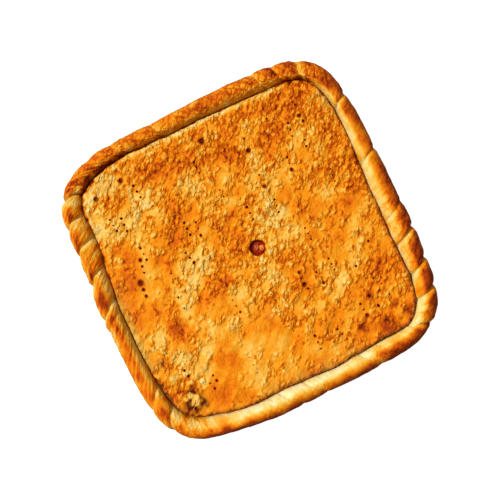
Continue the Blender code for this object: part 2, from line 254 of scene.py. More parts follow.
def inside_ring(spots, ring):
    """Which places lie inside a closed ring of places."""
    x, y = spots.T
    inside = np.zeros(len(spots), dtype=bool)
    for (ax, ay), (bx, by) in zip(ring, np.roll(ring, -1, axis=0)):
        if ay != by:
            crosses = (ay > y) != (by > y)
            inside ^= crosses & (x < (bx - ax) * (y - ay) / (by - ay) + ax)
    return inside


def fill_outline(outline, holes, loose):
    """Triangles that fill an outline through loose places, apart from its holes."""
    places = np.concatenate([part[:, :2] for part in (outline, *holes, loose)])
    edges, rings, start = [], [], 0
    for ring in (outline, *holes):
        numbers = np.arange(start, start + len(ring))
        edges += np.stack([numbers, np.roll(numbers, -1)], -1).tolist()
        rings.append(numbers)
        start += len(ring)
    flat = [Vector(place) for place in places.tolist()]
    _, _, made, source, _, _ = delaunay_2d_cdt(flat, edges, [], 0, 1e-8, True)
    source = np.array([came[0] for came in source])
    triangles = source[np.array(made)]
    middles = places[triangles].mean(axis=1)
    keep = np.ones(len(triangles), dtype=bool)
    for order, numbers in enumerate(rings):
        of_ring = (triangles >= numbers[0]) & (triangles <= numbers[-1])
        edgewise = np.nonzero(np.all(of_ring, axis=1))[0]
        within = inside_ring(middles[edgewise], places[numbers])
        keep[edgewise] = within if order == 0 else ~within
    triangles = triangles[keep]
    x, y = places.T
    a, b, c = triangles.T
    area = (x[b] - x[a]) * (y[c] - y[a]) - (x[c] - x[a]) * (y[b] - y[a])
    triangles[area < 0] = triangles[area < 0][:, ::-1]
    return triangles


def spread_inside(outline, step, holes=()):
    """Evenly spread places inside an outline, clear of its edge and of the holes."""
    top = np.max(np.abs(outline)) + step
    rows = np.arange(-top, top, step * math.sqrt(0.75))
    columns = np.arange(-top, top, step)
    x, y = np.meshgrid(columns, rows)
    x = (x + 0.5 * step * (np.arange(len(rows)) % 2)[:, None]).ravel()
    y = y.ravel()
    around = np.arctan2(outline[:, 1], outline[:, 0])
    order = np.argsort(around)
    far = np.hypot(outline[:, 0], outline[:, 1])
    limit = np.interp(np.arctan2(y, x), around[order], far[order], period=2 * math.pi)
    keep = np.hypot(x, y) < limit - 0.84 * step
    for hx, hy, radius in holes:
        keep &= np.hypot(x - hx, y - hy) > radius + 0.5 * step
    return np.stack([x[keep], y[keep]], -1)


def placed(name, mesh, finish):
    """A smooth piece in the scene, from its mesh and its finish."""
    mesh.shade_smooth()
    mesh.materials.append(finish)
    piece = bpy.data.objects.new(name, mesh)
    bpy.context.collection.objects.link(piece)
    return piece


def dough_piece(name, points, faces, masks, finish):
    """A piece of dough, with a value per point for each of its masks."""
    mesh = bpy.data.meshes.new(name)
    mesh.from_pydata(points.tolist(), [], faces)
    for mask, values in masks.items():
        layer = mesh.attributes.new(mask, "FLOAT", "POINT")
        layer.data.foreach_set("value", np.asarray(values, dtype=np.float32))
    work = bmesh.new()
    work.from_mesh(mesh)
    bmesh.ops.recalc_face_normals(work, faces=work.faces[:])
    work.to_mesh(mesh)
    work.free()
    return placed(name, mesh, finish)


u = np.arange(ROPE_STATIONS)[None, :] * ROUND_TRIP / ROPE_STATIONS
angle = np.linspace(0, CREASE_ANGLE, ROPE_ROWS)[:, None]
x, y, nx, ny, out, crease = rope_frame(u, angle)
share, mild, near, depth = fold_place(u)
relief = fold_relief(u, angle)

# Fine relief: the cut of each seam, stretch lines along the folds, small blisters
cut = -SEAM_CUT * np.maximum(2 * depth - 1, 0) * fade(near, SEAM_CUT_WIDTH, 1)
strain = 0.35 + 0.65 * depth * fade(near, STRETCH_REACH) + pushed(x, y, WRINKLED)
slant = STRETCH_SLANT_NORTH * np.maximum(ny, 0) + STRETCH_SLANT_WEST * np.maximum(-nx, 0)
slant = u + 0.5 * np.cos(angle) * slant
lines = wander(slant, angle * 4 * MM, 0.02, LINE_SIZE)
folds = wander(slant, angle * 5 * MM, 0.05, FOLD_SIZE)
sway = wander(x, y, angle * 12 * MM, SWAY_SIZE)
fine = strain * (LINE_RISE * lines + FOLD_RISE * folds) + SWAY_RISE * sway
rough = np.clip(0.5 + 1.3 * wander(x, y, 0.7, 30 * MM), 0.15, 1)
pimples = wander(x, y, angle * 13 * MM, PIMPLE_SIZE)
fine = fine + rough * PIMPLE_RISE * np.maximum(pimples, -0.1)

# The rope's section: half an oval, wider outside than inside where hands pushed it
over = np.sin(angle)
swell = relief + (cut + fine) * np.clip(over * 1.6 + 0.35, 0, 1)
inner_swell = relief * np.sqrt(np.abs(over)) + (cut + fine) * over
lift = relief + ROLL_RISE * wander(x, y, 0.5, ROLL_SIZE) + cut + fine
side = np.where(np.cos(angle) >= 0, out + swell, crease + inner_swell) * np.cos(angle)
roll = np.stack([x + nx * side, y + ny * side, ROPE_MID + (ROPE_CREST + lift) * over], -1)

foot_x, foot_y, foot_nx, foot_ny, foot_out, _ = rope_frame(u, np.zeros((1, 1)))
down = np.linspace(1, 0, FOOT_ROWS + 1)[:-1, None]
foot_side = foot_out + swell[:1] * (1 - down) ** 2 - FOOT_IN * down ** 2.5
foot = np.stack([
    foot_x + foot_nx * foot_side,
    foot_y + foot_ny * foot_side,
    np.broadcast_to(ROPE_MID * (1 - down), foot_side.shape),
], -1)
rows = np.concatenate([foot, roll])
case_points, case_faces = [], []
numbers = added(case_points, rows.reshape(-1, 3)).reshape(rows.shape[:2])
for lower, upper in zip(numbers, numbers[1:]):
    case_faces += band(lower, upper)

# The dough under the lid, with the well for the filling that shows
x_in, y_in, nx_in, ny_in, _, crease_in = rope_frame(u[:, ::4], np.full((1, 1), CREASE_ANGLE))
inner_side = -crease_in - 1.0 * MM
inner = np.stack([x_in + nx_in * inner_side, y_in + ny_in * inner_side], -1)[0]
well = circle(*WELL_AT, WELL_RADIUS, np.linspace(0, 2 * math.pi, 32, endpoint=False))
floor_height = shelf_height(*WELL_AT) - WELL_DEPTH
shelf_loose = spread_inside(inner, FLAT_STEP, [(*WELL_AT, WELL_RADIUS)])
shelf_ring = added(case_points, raised(inner, shelf_height(*inner.T)))
mouth_ring = added(case_points, raised(well, shelf_height(*well.T)))
loose_spots = added(case_points, raised(shelf_loose, shelf_height(*shelf_loose.T)))
floor_ring = added(case_points, raised(well, floor_height))
spots = np.concatenate([shelf_ring, mouth_ring, loose_spots])
case_faces += quarter_band(numbers[-1], shelf_ring)
case_faces += spots[fill_outline(inner, [well], shelf_loose)].tolist()
case_faces += band(mouth_ring, floor_ring)
case_faces.append(floor_ring.tolist())

# The flat sole
sole = rows[0, ::4, :2] * SOLE_SHARE
sole_loose = spread_inside(sole, FLAT_STEP)
sole_ring = added(case_points, raised(sole, 0))
spots = np.concatenate([sole_ring, added(case_points, raised(sole_loose, 0))])
case_faces += quarter_band(numbers[0], sole_ring)
case_faces += spots[fill_outline(sole, [], sole_loose)].tolist()
case_points = np.concatenate(case_points)

# The middle of the rope's box stands where the solid's does
solid_low, solid_high = np.array(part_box("case"))[:, :2]
flat_rows = rows.reshape(-1, 3)[:, :2]
shift = (solid_low + solid_high) / 2 - (flat_rows.min(axis=0) + flat_rows.max(axis=0)) / 2
case_points[:, :2] += shift

# Browning is a share, from raw to burnt. These are for the rope's north, east, south
# and west sides: its tones over the crest, outside, towards the lid, and at the palest.
# Their differences are partly painted light and shade: the sides facing the north-west
# window are paler and the sides facing away are browner.
CREST_TONES = (0.58, 0.62, 0.36, 0.62)
OUTER_TONES = (0.47, 0.78, 0.95, 0.40)
INNER_TONES = (0.44, 0.25, 0.10, 0.34)
PALEST = (0.38, 0.14, 0.06, 0.22)
BROWNEST = 0.87
SOLE_TONE = 0.60

# For the same four sides: how streaky, how strong the seams' painted light and shade
# are, and how much painted light and painted shade the crease gets
STREAKED = (1.4, 1.0, 1.0, 2.0)
SEAMED = (1, 1, 0.4, 1)
CREASE_PALER = (-0.04, 0.14, 0.08, 0.06)
CREASE_BURNT = (1, 1, 1, 0.4)
SEAM_PALE_REACH = 4.0 * MM
SEAM_PALE_BACK = 1.0 * MM
SEAM_BROWN_AT = 3.5 * MM
SEAM_BROWN_REACH = 3.0 * MM

# Patches on the rope: x, y, share, spread, all but the share in mm
# Olive tint in the crease: partly damp dough, partly painted shade
RIM_DAMP = (
    (-150, 8, 0.2, 10), (-150, -8, 0.3, 10), (-150, -24, 0.3, 10), (-150, -40, 0.26, 9),
    (-149, -55, 0.16, 8), (-141, 90, 0.4, 6), (148, 100, 0.5, 9), (147, 116, 0.4, 8),
    (146, -100, 0.4, 8), (60, 150, 0.15, 16), (90, 149, 0.18, 10),
)
ROPE_BROWN = (
    (108, 157, 0.2, 8), (126, 153, 0.18, 8), (-155, 0, 0.22, 7), (-153, 93, 0.16, 9),
    (-151, 68, 0.16, 9), (-160, 23, 0.18, 9), (163, -112, 0.02, 12), (164, -84, 0.04, 10),
    (164, -50, 0.06, 10), (165, -20, 0.1, 20), (-110, 150, 0.14, 20), (-160, -28, 0.13, 12),
    (-160, -45, 0.08, 12), (-135, 142, 0.1, 10), (45, 160, 0.05, 30), (75, 160, 0.08, 10),
    (100, -160, 0.04, 22), (55, -166, 0.1, 18), (-148, -103, 0.06, 12), (-161, -92, 0.08, 7),
    (-158, -112, 0.07, 8), (-100, -158, 0.05, 20), (150, -132, 0.04, 10), (151, 122, 0.06, 12),
    (147, 134, 0.06, 9), (153, -76, 0.24, 8), (152, -90, 0.2, 8), (150, -106, 0.28, 10),
    (153, -131, 0.28, 8), (157, -78, 0.26, 6), (156, -100, 0.16, 7), (92, -153, 0.26, 13),
    (116, -151, 0.2, 9), (78, -152, 0.42, 8), (100, -150, 0.12, 7), (-76, -155, 0.22, 9),
    (-101, -149, 0.58, 9), (-118, -143, 0.3, 8), (153, -72, 0.18, 6), (-156, -14, 0.2, 8),
    (-157, 3, 0.12, 5), (-158, -6, 0.16, 5), (-155, 31, 0.14, 8), (-145, 110, 0.32, 7),
    (-50, -164, 0.12, 7), (-20, -159, 0.16, 9), (40, -160, 0.08, 9), (-146, 98, 0.15, 6),
    (-148, 77, 0.12, 6), (-147, 124, 0.12, 6), (150, -78, 0.1, 6), (149, -87, 0.12, 5),
    (146, -106, 0.14, 6), (144, -114, 0.12, 6), (75, -153, 0.12, 7), (-148, 111, 0.08, 7),
    (-157, -42, 0.08, 10), (-161, 22, 0.12, 6), (143, -118, 0.2, 7), (130, -150, 0.12, 12),
    (95, -155, 0.06, 14), (-158, -70, 0.08, 16), (-106, -151, 0.22, 12), (-124, -146, 0.14, 10),
    (-86, -158, 0.14, 10), (-130, 152, 0.06, 16), (20, -166, 0.08, 14), (-40, -158, 0.08, 8),
    (20, -161, 0.06, 8), (-20, -161, 0.06, 8), (-138, 142, 0.18, 6), (-146, 138, 0.14, 5),
)
ROPE_PALE = (
    (-168, -12, 0.34, 9), (-168, 8, 0.2, 7), (-168, -28, 0.16, 7), (-164, 35, 0.16, 6),
    (-148, 52, 0.16, 6), (-153, 13, 0.14, 6), (-140, 130, 0.26, 7), (-148, 129, 0.16, 8),
    (-141, 88, 0.22, 6), (-149, 108, 0.12, 7), (-146, -118, 0.18, 8), (-148, -124, 0.12, 7),
    (136, 152, 0.12, 7), (112, 162, 0.08, 6), (-5, 168, 0.16, 5), (18, 168, 0.14, 5),
    (75, 165, 0.06, 6), (-28, 163, 0.06, 5), (-168, 60, 0.1, 14), (-158, 56, 0.06, 6),
    (-152, 85, 0.08, 6), (-160, 40, 0.1, 6), (36, -156, 0.12, 20), (-38, -156, 0.12, 20),
    (0, -156, 0.12, 20), (-120, -138, 0.12, 14), (-154, -55, 0.1, 8), (-159, 70, 0.4, 7),
    (-164, 34, 0.1, 6), (-151, -72, 0.16, 7), (75, -165, 0.26, 8), (-155, 110, 0.12, 6),
    (-152, -46, 0.08, 5), (153, 16, 0.1, 9), (152, 40, 0.1, 9), (151, -74, 0.1, 4), (150, 60, 0.08, 30),
    (-150, 27, 0.08, 7), (168, 60, 0.05, 20), (154, -138, 0.08, 8), (158, -122, 0.06, 6),
    (146, -75, 0.24, 5), (146, -98, 0.16, 5), (144, -148, 0.14, 8), (165, -95, 0.1, 12),
    (168, -60, 0.08, 14),
)
# Painted shade along the crease, where the rope shades the lid
CREASE_DARK = (
    (-131, 134, 0.6, 8), (-120, 143, 0.7, 10), (-104, 148, 0.6, 11), (-90, 150, 0.5, 9),
    (-72, 152, 0.28, 10), (-54, 152, 0.25, 9), (-30, 152, 0.16, 8), (94, 146, 0.1, 8),
    (116, 142, 0.35, 8), (128, 138, 0.35, 8), (138, 132, 0.4, 8), (-136, 118, 0.4, 7),
    (-139, 103, 0.25, 7), (-140, 77, 0.14, 7), (-143, 62, 0.28, 6), (-142, 48, 0.15, 8),
    (145.5, 35, 0.36, 3), (145.5, 41, 0.46, 3), (145.5, 47, 0.3, 3), (145, -37, 0.25, 6),
    (143, -62, 0.15, 8), (-149, -62, 0.15, 8), (-148, -77, 0.2, 7), (-146, -98, 0.6, 8),
    (-142, -111, 0.4, 6), (-134, -124, 0.45, 6), (140, -128, 0.2, 8), (-147, -75, 0.28, 7),
    (-145, -86, 0.2, 5), (-127, -129, 0.4, 5), (-116, -133, 0.28, 8), (-134, 120, 0.4, 4),
    (-136, 107, 0.4, 4.5), (-138, 96, 0.3, 4), (-137, 79, 0.3, 4), (-141, 66, 0.25, 5),
    (-143, 40, 0.16, 7), (-145, 22, 0.18, 7),
)
crest = np.clip(over, 0, 1)
faced = np.stack([np.maximum(part, 0) ** 2 for part in (ny, nx, -ny, -nx)])
surface_x, surface_y = x + nx * side, y + ny * side


def tone_of(tones):
    """Value at each place of the rope, from north, east, south and west values."""
    return sum(tone * part for tone, part in zip(tones, faced)) / faced.sum(axis=0)


def past(start, run):
    """How far over the rope a place is past a start, as a share of a run, in degrees."""
    return np.clip((angle - math.radians(start)) / math.radians(run), 0, 1)


outer_share = np.clip(1.1 * np.cos(angle), 0, 1) ** 1.3
inner_share = eased(past(84, 34))
low_wall = past(104, 42)
near_crease = past(128, 36)
bake = tone_of(CREST_TONES)
bake = bake + outer_share * (tone_of(OUTER_TONES) - bake)
bake = bake + inner_share * (tone_of(INNER_TONES) - bake)
bake = bake + 0.10 * np.sin(np.pi * share) * mild * crest ** 2

# A seam has painted light on the side that faces the north-west window, and painted
# shade on the other
beside = near * (0.8 * nx + 0.6 * ny)
seam_pale = fade(beside, np.where(beside > 0, SEAM_PALE_REACH, SEAM_PALE_BACK))
seam_brown = np.where(beside < 0, fade(beside + SEAM_BROWN_AT, SEAM_BROWN_REACH), 0)
seam_share = depth * tone_of(SEAMED) * np.clip(over * 2, 0, 1)
bake = bake + seam_share * (0.16 * seam_brown - 0.30 * seam_pale)

# Patches, the dough's own unevenness, and the streaks where it was stretched
bake = bake + pushed(surface_x, surface_y, ROPE_BROWN) * (1 - 0.6 * inner_share)
bake = bake - pushed(surface_x, surface_y, ROPE_PALE) * (1 - 0.5 * inner_share)
bake = bake + 0.16 * wander(x, y, angle * 10 * MM, 10 * MM)
bake = bake + tone_of(STREAKED) * (0.10 * folds + 0.06 * lines)
bake = bake - 0.16 * rough * np.maximum(pimples, 0)

# Down in the crease: painted shade where the rope shades it, painted light that lifts
# it on most sides, and an olive tint that is partly damp dough and partly painted shade
uneven = np.clip(1 + 1.5 * wander(surface_x, surface_y, 2.9, 6 * MM), 0.2, 2)
burnt = tone_of(CREASE_BURNT) * pushed(surface_x, surface_y, CREASE_DARK)
bake = bake + low_wall * uneven * burnt - near_crease * tone_of(CREASE_PALER)
bake = np.clip(bake, tone_of(PALEST), BROWNEST)
olive = pushed(surface_x, surface_y, RIM_DAMP) * near_crease
blister = 0.35 * rough + 0.5 * np.clip(ny, 0, 1) * np.ones(angle.shape)


def over_case(foot_part, rope_part, flat_value):
    """A mask for all of the case's points: the foot's rows, the rope's, and the rest."""
    foot_part = np.broadcast_to(foot_part, foot.shape[:2])
    rest = np.full(len(case_points) - numbers.size, flat_value)
    return np.clip(np.concatenate([foot_part.ravel(), rope_part.ravel(), rest]), 0, 1)


case_masks = {
    "bake": over_case(bake[:1] + 0.05 * down, bake, SOLE_TONE),
    "blister": over_case(blister[:1], blister, SOLE_TONE),
    "damp": over_case(0, olive, 0),
    "scorch": np.zeros(len(case_points)),
}


def plain_colour(red, green, blue):
    """A colour read as 0 to 255, as the shader's linear values."""
    parts = []
    for part in (red, green, blue):
        share = part / 255
        parts.append(share / 12.92 if share <= 0.04045 else ((share + 0.055) / 1.055) ** 2.4)
    return (*parts, 1)


# Baked dough: from raw cream, through yellow and orange, to brown and burnt
BAKE_COLOURS = (
    (0.00, (217, 203, 156)), (0.16, (218, 183, 102)), (0.32, (217, 158, 56)),
    (0.46, (213, 132, 13)), (0.58, (206, 109, 3)), (0.70, (188, 84, 1)),
    (0.84, (148, 52, 0)), (1.00, (82, 18, 0)),
)
# Olive of damp dough, also used as painted shade in the crease and along the lid's edges
DAMP_COLOUR = (166, 130, 52)
SCORCH_COLOUR = (76, 16, 1)
OILED_SHINE = 0.06
MASKS = ("bake", "blister", "damp", "scorch")
STREAK_LEAN = math.radians(50)
STREAK_STRETCH = 1.7
BLISTERS_PER_METRE = 290
BLISTER_CROOK = 6 * MM
BROWNED_ASIDE = 1.1 * MM

# The mix node's sockets for colours
MIX_FIRST, MIX_SECOND, MIX_RESULT = 6, 7, 2


def supply(tree, node, feeds):
    """Sets a node's sockets to values, or links other sockets to them."""
    for name, source in feeds.items():
        if isinstance(source, bpy.types.NodeSocket):
            tree.links.new(source, node.inputs[name])
        else:
            node.inputs[name].default_value = source


def wired(tree, kind, feeds, **settings):
    """A new shader node with its settings, and with its sockets supplied."""
    node = tree.nodes.new("ShaderNode" + kind)
    for name, value in settings.items():
        setattr(node, name, value)
    supply(tree, node, feeds)
    return node


def ramp_of(tree, share, colours):
    """The colour at a share, from colours that each have their place from 0 to 1."""
    ramp = wired(tree, "ValToRGB", {"Fac": share})
    steps = ramp.color_ramp.elements
    steps[0].position = colours[0][0]
    steps[1].position = colours[-1][0]
    for position, _ in colours[1:-1]:
        steps.new(position)
    for step, (_, colour) in zip(steps, colours):
        step.color = plain_colour(*colour)
    return ramp.outputs["Color"]


def baked_dough_group():
    """Colour, roughness and fine relief of baked dough from its masks."""
    group = bpy.data.node_groups.new("baked_dough", "ShaderNodeTree")
    sockets = [(mask.title(), "INPUT", "Float") for mask in MASKS]
    sockets += [("Color", "OUTPUT", "Color"), ("Roughness", "OUTPUT", "Float")]
    sockets += [("Relief", "OUTPUT", "Float")]
    for name, side, kind in sockets:
        group.interface.new_socket(name, in_out=side, socket_type="NodeSocket" + kind)
    given = group.nodes.new("NodeGroupInput").outputs
    place = wired(group, "TexCoord", {}).outputs["Object"]
    streaked = wired(group, "Mapping", {
        "Vector": place,
        "Rotation": (0, 0, STREAK_LEAN),
        "Scale": (STREAK_STRETCH, 1, 1),
    }, vector_type="TEXTURE").outputs["Vector"]

    def worked(kind, operation, *terms):
        """The result of one sum on values or on vectors."""
        return wired(group, kind, dict(enumerate(terms)), operation=operation).outputs[0]

    def sum_of(*terms):
        """Adds values, each with its own weight, and each weight may be a socket."""
        total = 0
        for value, weight in terms:
            total = worked("Math", "MULTIPLY_ADD", value, weight, total)
        return total

    def grain(scale, detail, roughness):
        """Uneven grain along the streaks, with so many grains in a metre."""
        return wired(group, "TexNoise", {
            "Vector": streaked, "Scale": scale, "Detail": detail, "Roughness": roughness,
        }).outputs

    patchy = grain(95, 3, 0.6)["Fac"]
    mottle = grain(420, 4, 0.65)["Fac"]
    speck = grain(1300, 3, 0.6)["Fac"]
    crooked = grain(300, 2, 0.5)["Color"]

    def lumps(aside):
        """Squared distance from the nearest blister's middle, from 0 to about 0.5."""
        moved = worked("VectorMath", "MULTIPLY_ADD", crooked, (BLISTER_CROOK,) * 3, streaked)
        beside = worked("VectorMath", "ADD", moved, (0, aside, 0))
        cells = wired(group, "TexVoronoi", {"Vector": beside, "Scale": BLISTERS_PER_METRE})
        far = cells.outputs["Distance"]
        return sum_of((far, far))

    # Blisters of skin, drawn crooked. Their south-east sides, away from the window, are
    # browner as painted shade.
    crease = lumps(0)
    browned_side = lumps(-BROWNED_ASIDE)
    lumpy = given["Blister"]
    blistered = sum_of((mottle, 0.16), (browned_side, 0.62), (1.0, -0.20))
    tone = sum_of(
        (given["Bake"], 1.0), (patchy, 0.26), (mottle, 0.34), (speck, 0.24),
        (lumpy, blistered), (1.0, -0.42),
    )
    darkest = worked("Math", "MAXIMUM", sum_of((given["Bake"], 1.0), (1.0, 0.13)), 0.66)
    tone = worked("Math", "MINIMUM", tone, darkest)

    def stain(base, mask, colour, patchiness):
        """Mixes a colour in by a mask that the grain breaks up."""
        broken = sum_of((mottle, patchiness), (1.0, 1 - patchiness / 2))
        mix = wired(group, "Mix", {
            "Factor": sum_of((mask, broken)),
            MIX_FIRST: base,
            MIX_SECOND: plain_colour(*colour),
        }, data_type="RGBA", clamp_factor=True)
        return mix.outputs[MIX_RESULT]

    colour = stain(ramp_of(group, tone, BAKE_COLOURS), given["Damp"], DAMP_COLOUR, 0.5)
    skin = sum_of((mottle, 1.6 * MM), (crease, -2.0 * MM))
    supply(group, group.nodes.new("NodeGroupOutput"), {
        "Color": stain(colour, given["Scorch"], SCORCH_COLOUR, 0.8),
        "Roughness": sum_of((tone, 0.10), (mottle, 0.2), (1.0, 0.52)),
        "Relief": sum_of((lumpy, skin), (mottle, 0.8 * MM), (speck, 0.3 * MM)),
    })
    return group


baked_dough = baked_dough_group()


def plain_finish(name, shine):
    """A new material that shines so much, and its shader."""
    material = bpy.data.materials.new(name)
    material.use_nodes = True
    shader = material.node_tree.nodes["Principled BSDF"]
    shader.inputs["Specular IOR Level"].default_value = shine
    return material, shader


def dough_finish(name):
    """A finish of oiled and baked dough, driven by its piece's masks."""
    material, shader = plain_finish(name, OILED_SHINE)
    tree = material.node_tree
    crust = wired(tree, "Group", {
        mask.title(): wired(tree, "Attribute", {}, attribute_name=mask).outputs["Fac"]
        for mask in MASKS
    }, node_tree=baked_dough).outputs
    skin = wired(tree, "Bump", {"Strength": 1.0, "Distance": 1.0, "Height": crust["Relief"]})
    supply(tree, shader, {
        "Base Color": crust["Color"],
        "Roughness": crust["Roughness"],
        "Normal": skin.outputs["Normal"],
    })
    return material


case_finish = dough_finish("rope_crust")
case = dough_piece("rope_case", case_points, case_faces, case_masks, case_finish)
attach(case, "root")
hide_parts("case")


# The lid: a thinner sheet of the same dough laid over the filling, tucked inside
# the rope, pricked with a fork, brushed with oil and baked till it blistered.
LID_THICKNESS = 6.3 * MM
REST_GAP = 0.3 * MM
LID_CLEAR = 1.3 * MM
LID_STATIONS = 1200
LID_STEP = 1.07 * MM
TORN_IN, TORN_OUT = -1.3 * MM, 0.7 * MM
VENT_RADIUS = 8.3 * MM
VENT_LIP = 0.5 * MM
VENT_DROOP = 1.1 * MM
VENT_DROOP_REACH = 2.6 * MM
VENT_SIDES = 56
VENT_COLLARS = (1.2 * MM, 2.0 * MM, 2.9 * MM)
VENT_CLEAR = 3.2 * MM
PRICK_DEPTH = 2.1 * MM

# The lid's rounded edge: how far in each ring lies, in mm, and how far up its thickness
EDGE_PROFILE = (
    (0.8, 0.0), (0.2, 0.06), (0.0, 0.2), (0.0, 0.45), (0.4, 0.68), (1.2, 0.85), (2.4, 0.95),
)
TOP_EDGE_IN = 3.8 * MM
UNDER_EDGE_IN = 1.6 * MM

# Rings of points round each of the fork's holes: share of its radius, and points
PIT_RINGS = ((1.5, 10), (1.12, 10), (0.78, 8), (0.42, 6))

# Waves of the dough: height and width in mm, stretch along the streaks, pattern
WAVES = ((1.3, 21, 1.7, 0.9), (1.1, 9.5, 1.5, 1.7), (0.20, 2.4, 1.3, 5.1))
CRINKLES = (0.45, 4.5, 1.6, 4.3)
RIDGE_RISE, RIDGE_WIDTH = 0.7 * MM, 1.1 * MM
BLISTER_RISE = 1.6 * MM
BLISTER_SIZE, SMALL_BLISTER_SIZE = 6.2 * MM, 3.8 * MM
BLISTER_STRETCH = 1.35
BLISTER_SHARE = 0.75
PALE_BLISTER_RISE = 1.1 * MM
CELLS = 128

# Fork marks in mm: first hole's x and y, last hole's, then each hole's radius.
# A mark of one hole has one place.
FORK_MARKS = (
    ((-76.5, 117, -75, 103), (1.3, 1.2, 1.1)), ((-114.5, 96, -113, 82.5), (1.0, 0.8, 1.2)),
    ((-103, 92, -103.5, 77.5), (1.3, 1.1, 1.1)), ((-118, 122), (2.3,)), ((-86, 128), (2.3,)),
    ((8, 127), (2.9,)), ((-8.5, 111, -8.5, 98), (1.0, 0.9, 0.8)), ((49.5, 109, 48, 96), (1.0, 2.2)),
    ((2.5, 72.5, 3, 65), (0.8, 0.8)), ((46.5, 68, 46, 55), (0.9, 2.0)),
    ((113, 117, 111.7, 105), (1.0, 1.8)), ((113, 98), (1.6,)), ((98, 103, 95.8, 89), (1.1, 1.0, 0.7)),
    ((81, 128, 80, 117), (0.8, 0.8)), ((81, 71.5, 79.5, 58), (1.1, 0.8, 1.9)),
    ((105.8, 79.5, 104, 73), (0.9, 1.2)), ((-99, 55, -98.5, 41.5), (1.2, 0.8, 1.2)),
    ((-104.5, 44, -107, 30.5), (1.9, 1.3, 1.0)), ((-115, 22.5), (3.0,)),
    ((-115.5, 14.8, -116, 7.5), (1.7, 1.6)), ((-82, 17, -79, 4.5), (0.8, 0.6, 0.7)),
    ((-86.5, -8.5), (1.0,)), ((-86, -21.5), (0.8,)), ((-58.8, 29.6, -55.5, 16.7), (1.0, 1.1, 1.4)),
    ((-46, 58.4, -46, 44.3), (1.3, 1.3, 1.3)), ((-35, 53.4, -36.4, 39), (1.0, 0.8, 1.4)),
    ((20, 43.6, 20.2, 29.6), (1.3, 1.0, 0.8)), ((49.4, 38, 47.4, 24.4), (1.0, 0.8, 1.1)),
    ((64.5, -3, 65, -16.3), (0.9, 0.9, 0.8)), ((72.3, -42.5, 72.5, -55.5), (1.0, 1.0, 0.8)),
    ((117.8, -45), (1.3,)), ((116, 40.5, 114.5, 27), (0.8, 0.8, 0.8)),
    ((-37, -36.6, -35.4, -51.3), (0.7, 0.8, 1.2)), ((38, -41.6, 37.8, -55.5), (1.4, 0.9, 2.0)),
    ((39.3, -61), (1.1,)), ((54.4, -49.8, 56.3, -63), (1.1, 1.5)),
    ((1.7, -49, 3.4, -63.5), (0.7, 0.7, 0.7)), ((94.5, -62.4), (1.2,)),
    ((-115, -80, -114, -87), (1.3, 1.3)), ((-90.7, -98, -89.5, -104.6), (1.0, 1.4)),
    ((-97, -104, -95, -111), (0.9, 1.3)), ((-132, -97.5), (0.7,)),
    ((3.6, -87, 8, -101), (0.6, 0.6, 0.6)), ((23.3, -108.5, 23, -123.4), (1.4, 0.9, 0.9)),
    ((47.6, -113, 52, -126.5), (1.0, 1.0, 0.8)), ((-48, -98, -47.8, -116), (0.6, 0.6, 0.6)),
    ((80.8, -100, 82, -114), (1.2, 0.9, 2.0)), ((93.3, -97, 97, -110), (1.7, 1.4)),
    ((105, -96, 112.5, -104.6), (0.9, 0.9)), ((110, -91, 105, -82), (0.7, 1.0)),
)
pricks = []
for ends, radii in FORK_MARKS:
    x0, y0, x1, y1 = (*ends, *ends)[:4]
    for order, radius in enumerate(radii):
        gone = order / max(1, len(radii) - 1)
        pricks.append((x0 + (x1 - x0) * gone, y0 + (y1 - y0) * gone, radius))
pricks = np.array(pricks) * MM
pricks[:, :2] += shift
vent_x, vent_y = WELL_AT + shift

chance = np.random.default_rng(7)
cell_table = chance.random((CELLS, CELLS, 4))


def bubbles(x, y, size):
    """Blisters from 0 to 1 on a jittered grid, a little long along the dough's streaks."""
    along = (x * math.cos(STREAK_LEAN) + y * math.sin(STREAK_LEAN)) / (size * BLISTER_STRETCH)
    across = (y * math.cos(STREAK_LEAN) - x * math.sin(STREAK_LEAN)) / size
    cell_a, cell_b = np.floor(along).astype(int), np.floor(across).astype(int)
    best = np.zeros(x.shape)
    # Each cell draws its blister's place and width, and whether it rises at all
    for da in (-1, 0, 1):
        for db in (-1, 0, 1):
            draw = cell_table[(cell_a + da) % CELLS, (cell_b + db) % CELLS]
            off_a = along - (cell_a + da + 0.15 + 0.7 * draw[..., 0])
            off_b = across - (cell_b + db + 0.15 + 0.7 * draw[..., 1])
            wide = 0.30 + 0.35 * draw[..., 2]
            dome = np.sqrt(np.clip(1 - (off_a ** 2 + off_b ** 2) / wide ** 2, 0, 1))
            risen = draw[..., 3] < BLISTER_SHARE
            best = np.maximum(best, np.where(risen, dome * (0.35 + wide), 0))
    return best


# Zones of smooth tight dough without blisters: x, y, share, spread, all but the share in mm
SMOOTH_ZONES = (
    (-118, 46, 0.6, 16), (-122, 12, 0.7, 18), (-85, 30, 0.5, 14), (-100, 28, 0.4, 12), (88, 7, 0.6, 18),
    (118, -2, 0.6, 12), (88, -32, 0.7, 18), (-70, -94, 0.8, 24), (-15, -96, 0.8, 18),
    (-30, -75, 0.6, 16), (-90, -124, 0.6, 22), (10, -118, 0.4, 12), (66, 42, 0.6, 12),
    (100, 68, 0.5, 16), (22, 60, 0.5, 10), (-70, 40, 0.2, 18), (-66, -55, 0.4, 14),
    (-130, -15, 0.5, 16), (0, 46, 0.5, 10), (-30, 62, 0.4, 10), (100, -130, 0.3, 20),
    (-42, -40, 0.4, 12), (72, -100, 0.3, 12), (-32, 42, 0.4, 10), (-120, -85, -0.5, 20),
    (-96, -70, -0.4, 12), (14, 96, 0.6, 9), (25, 104, 0.5, 8), (-112, 60, 0.3, 12), (72, 60, 0.5, 10),
    (58, -80, 0.3, 10), (-8, -140, 0.3, 12),
)
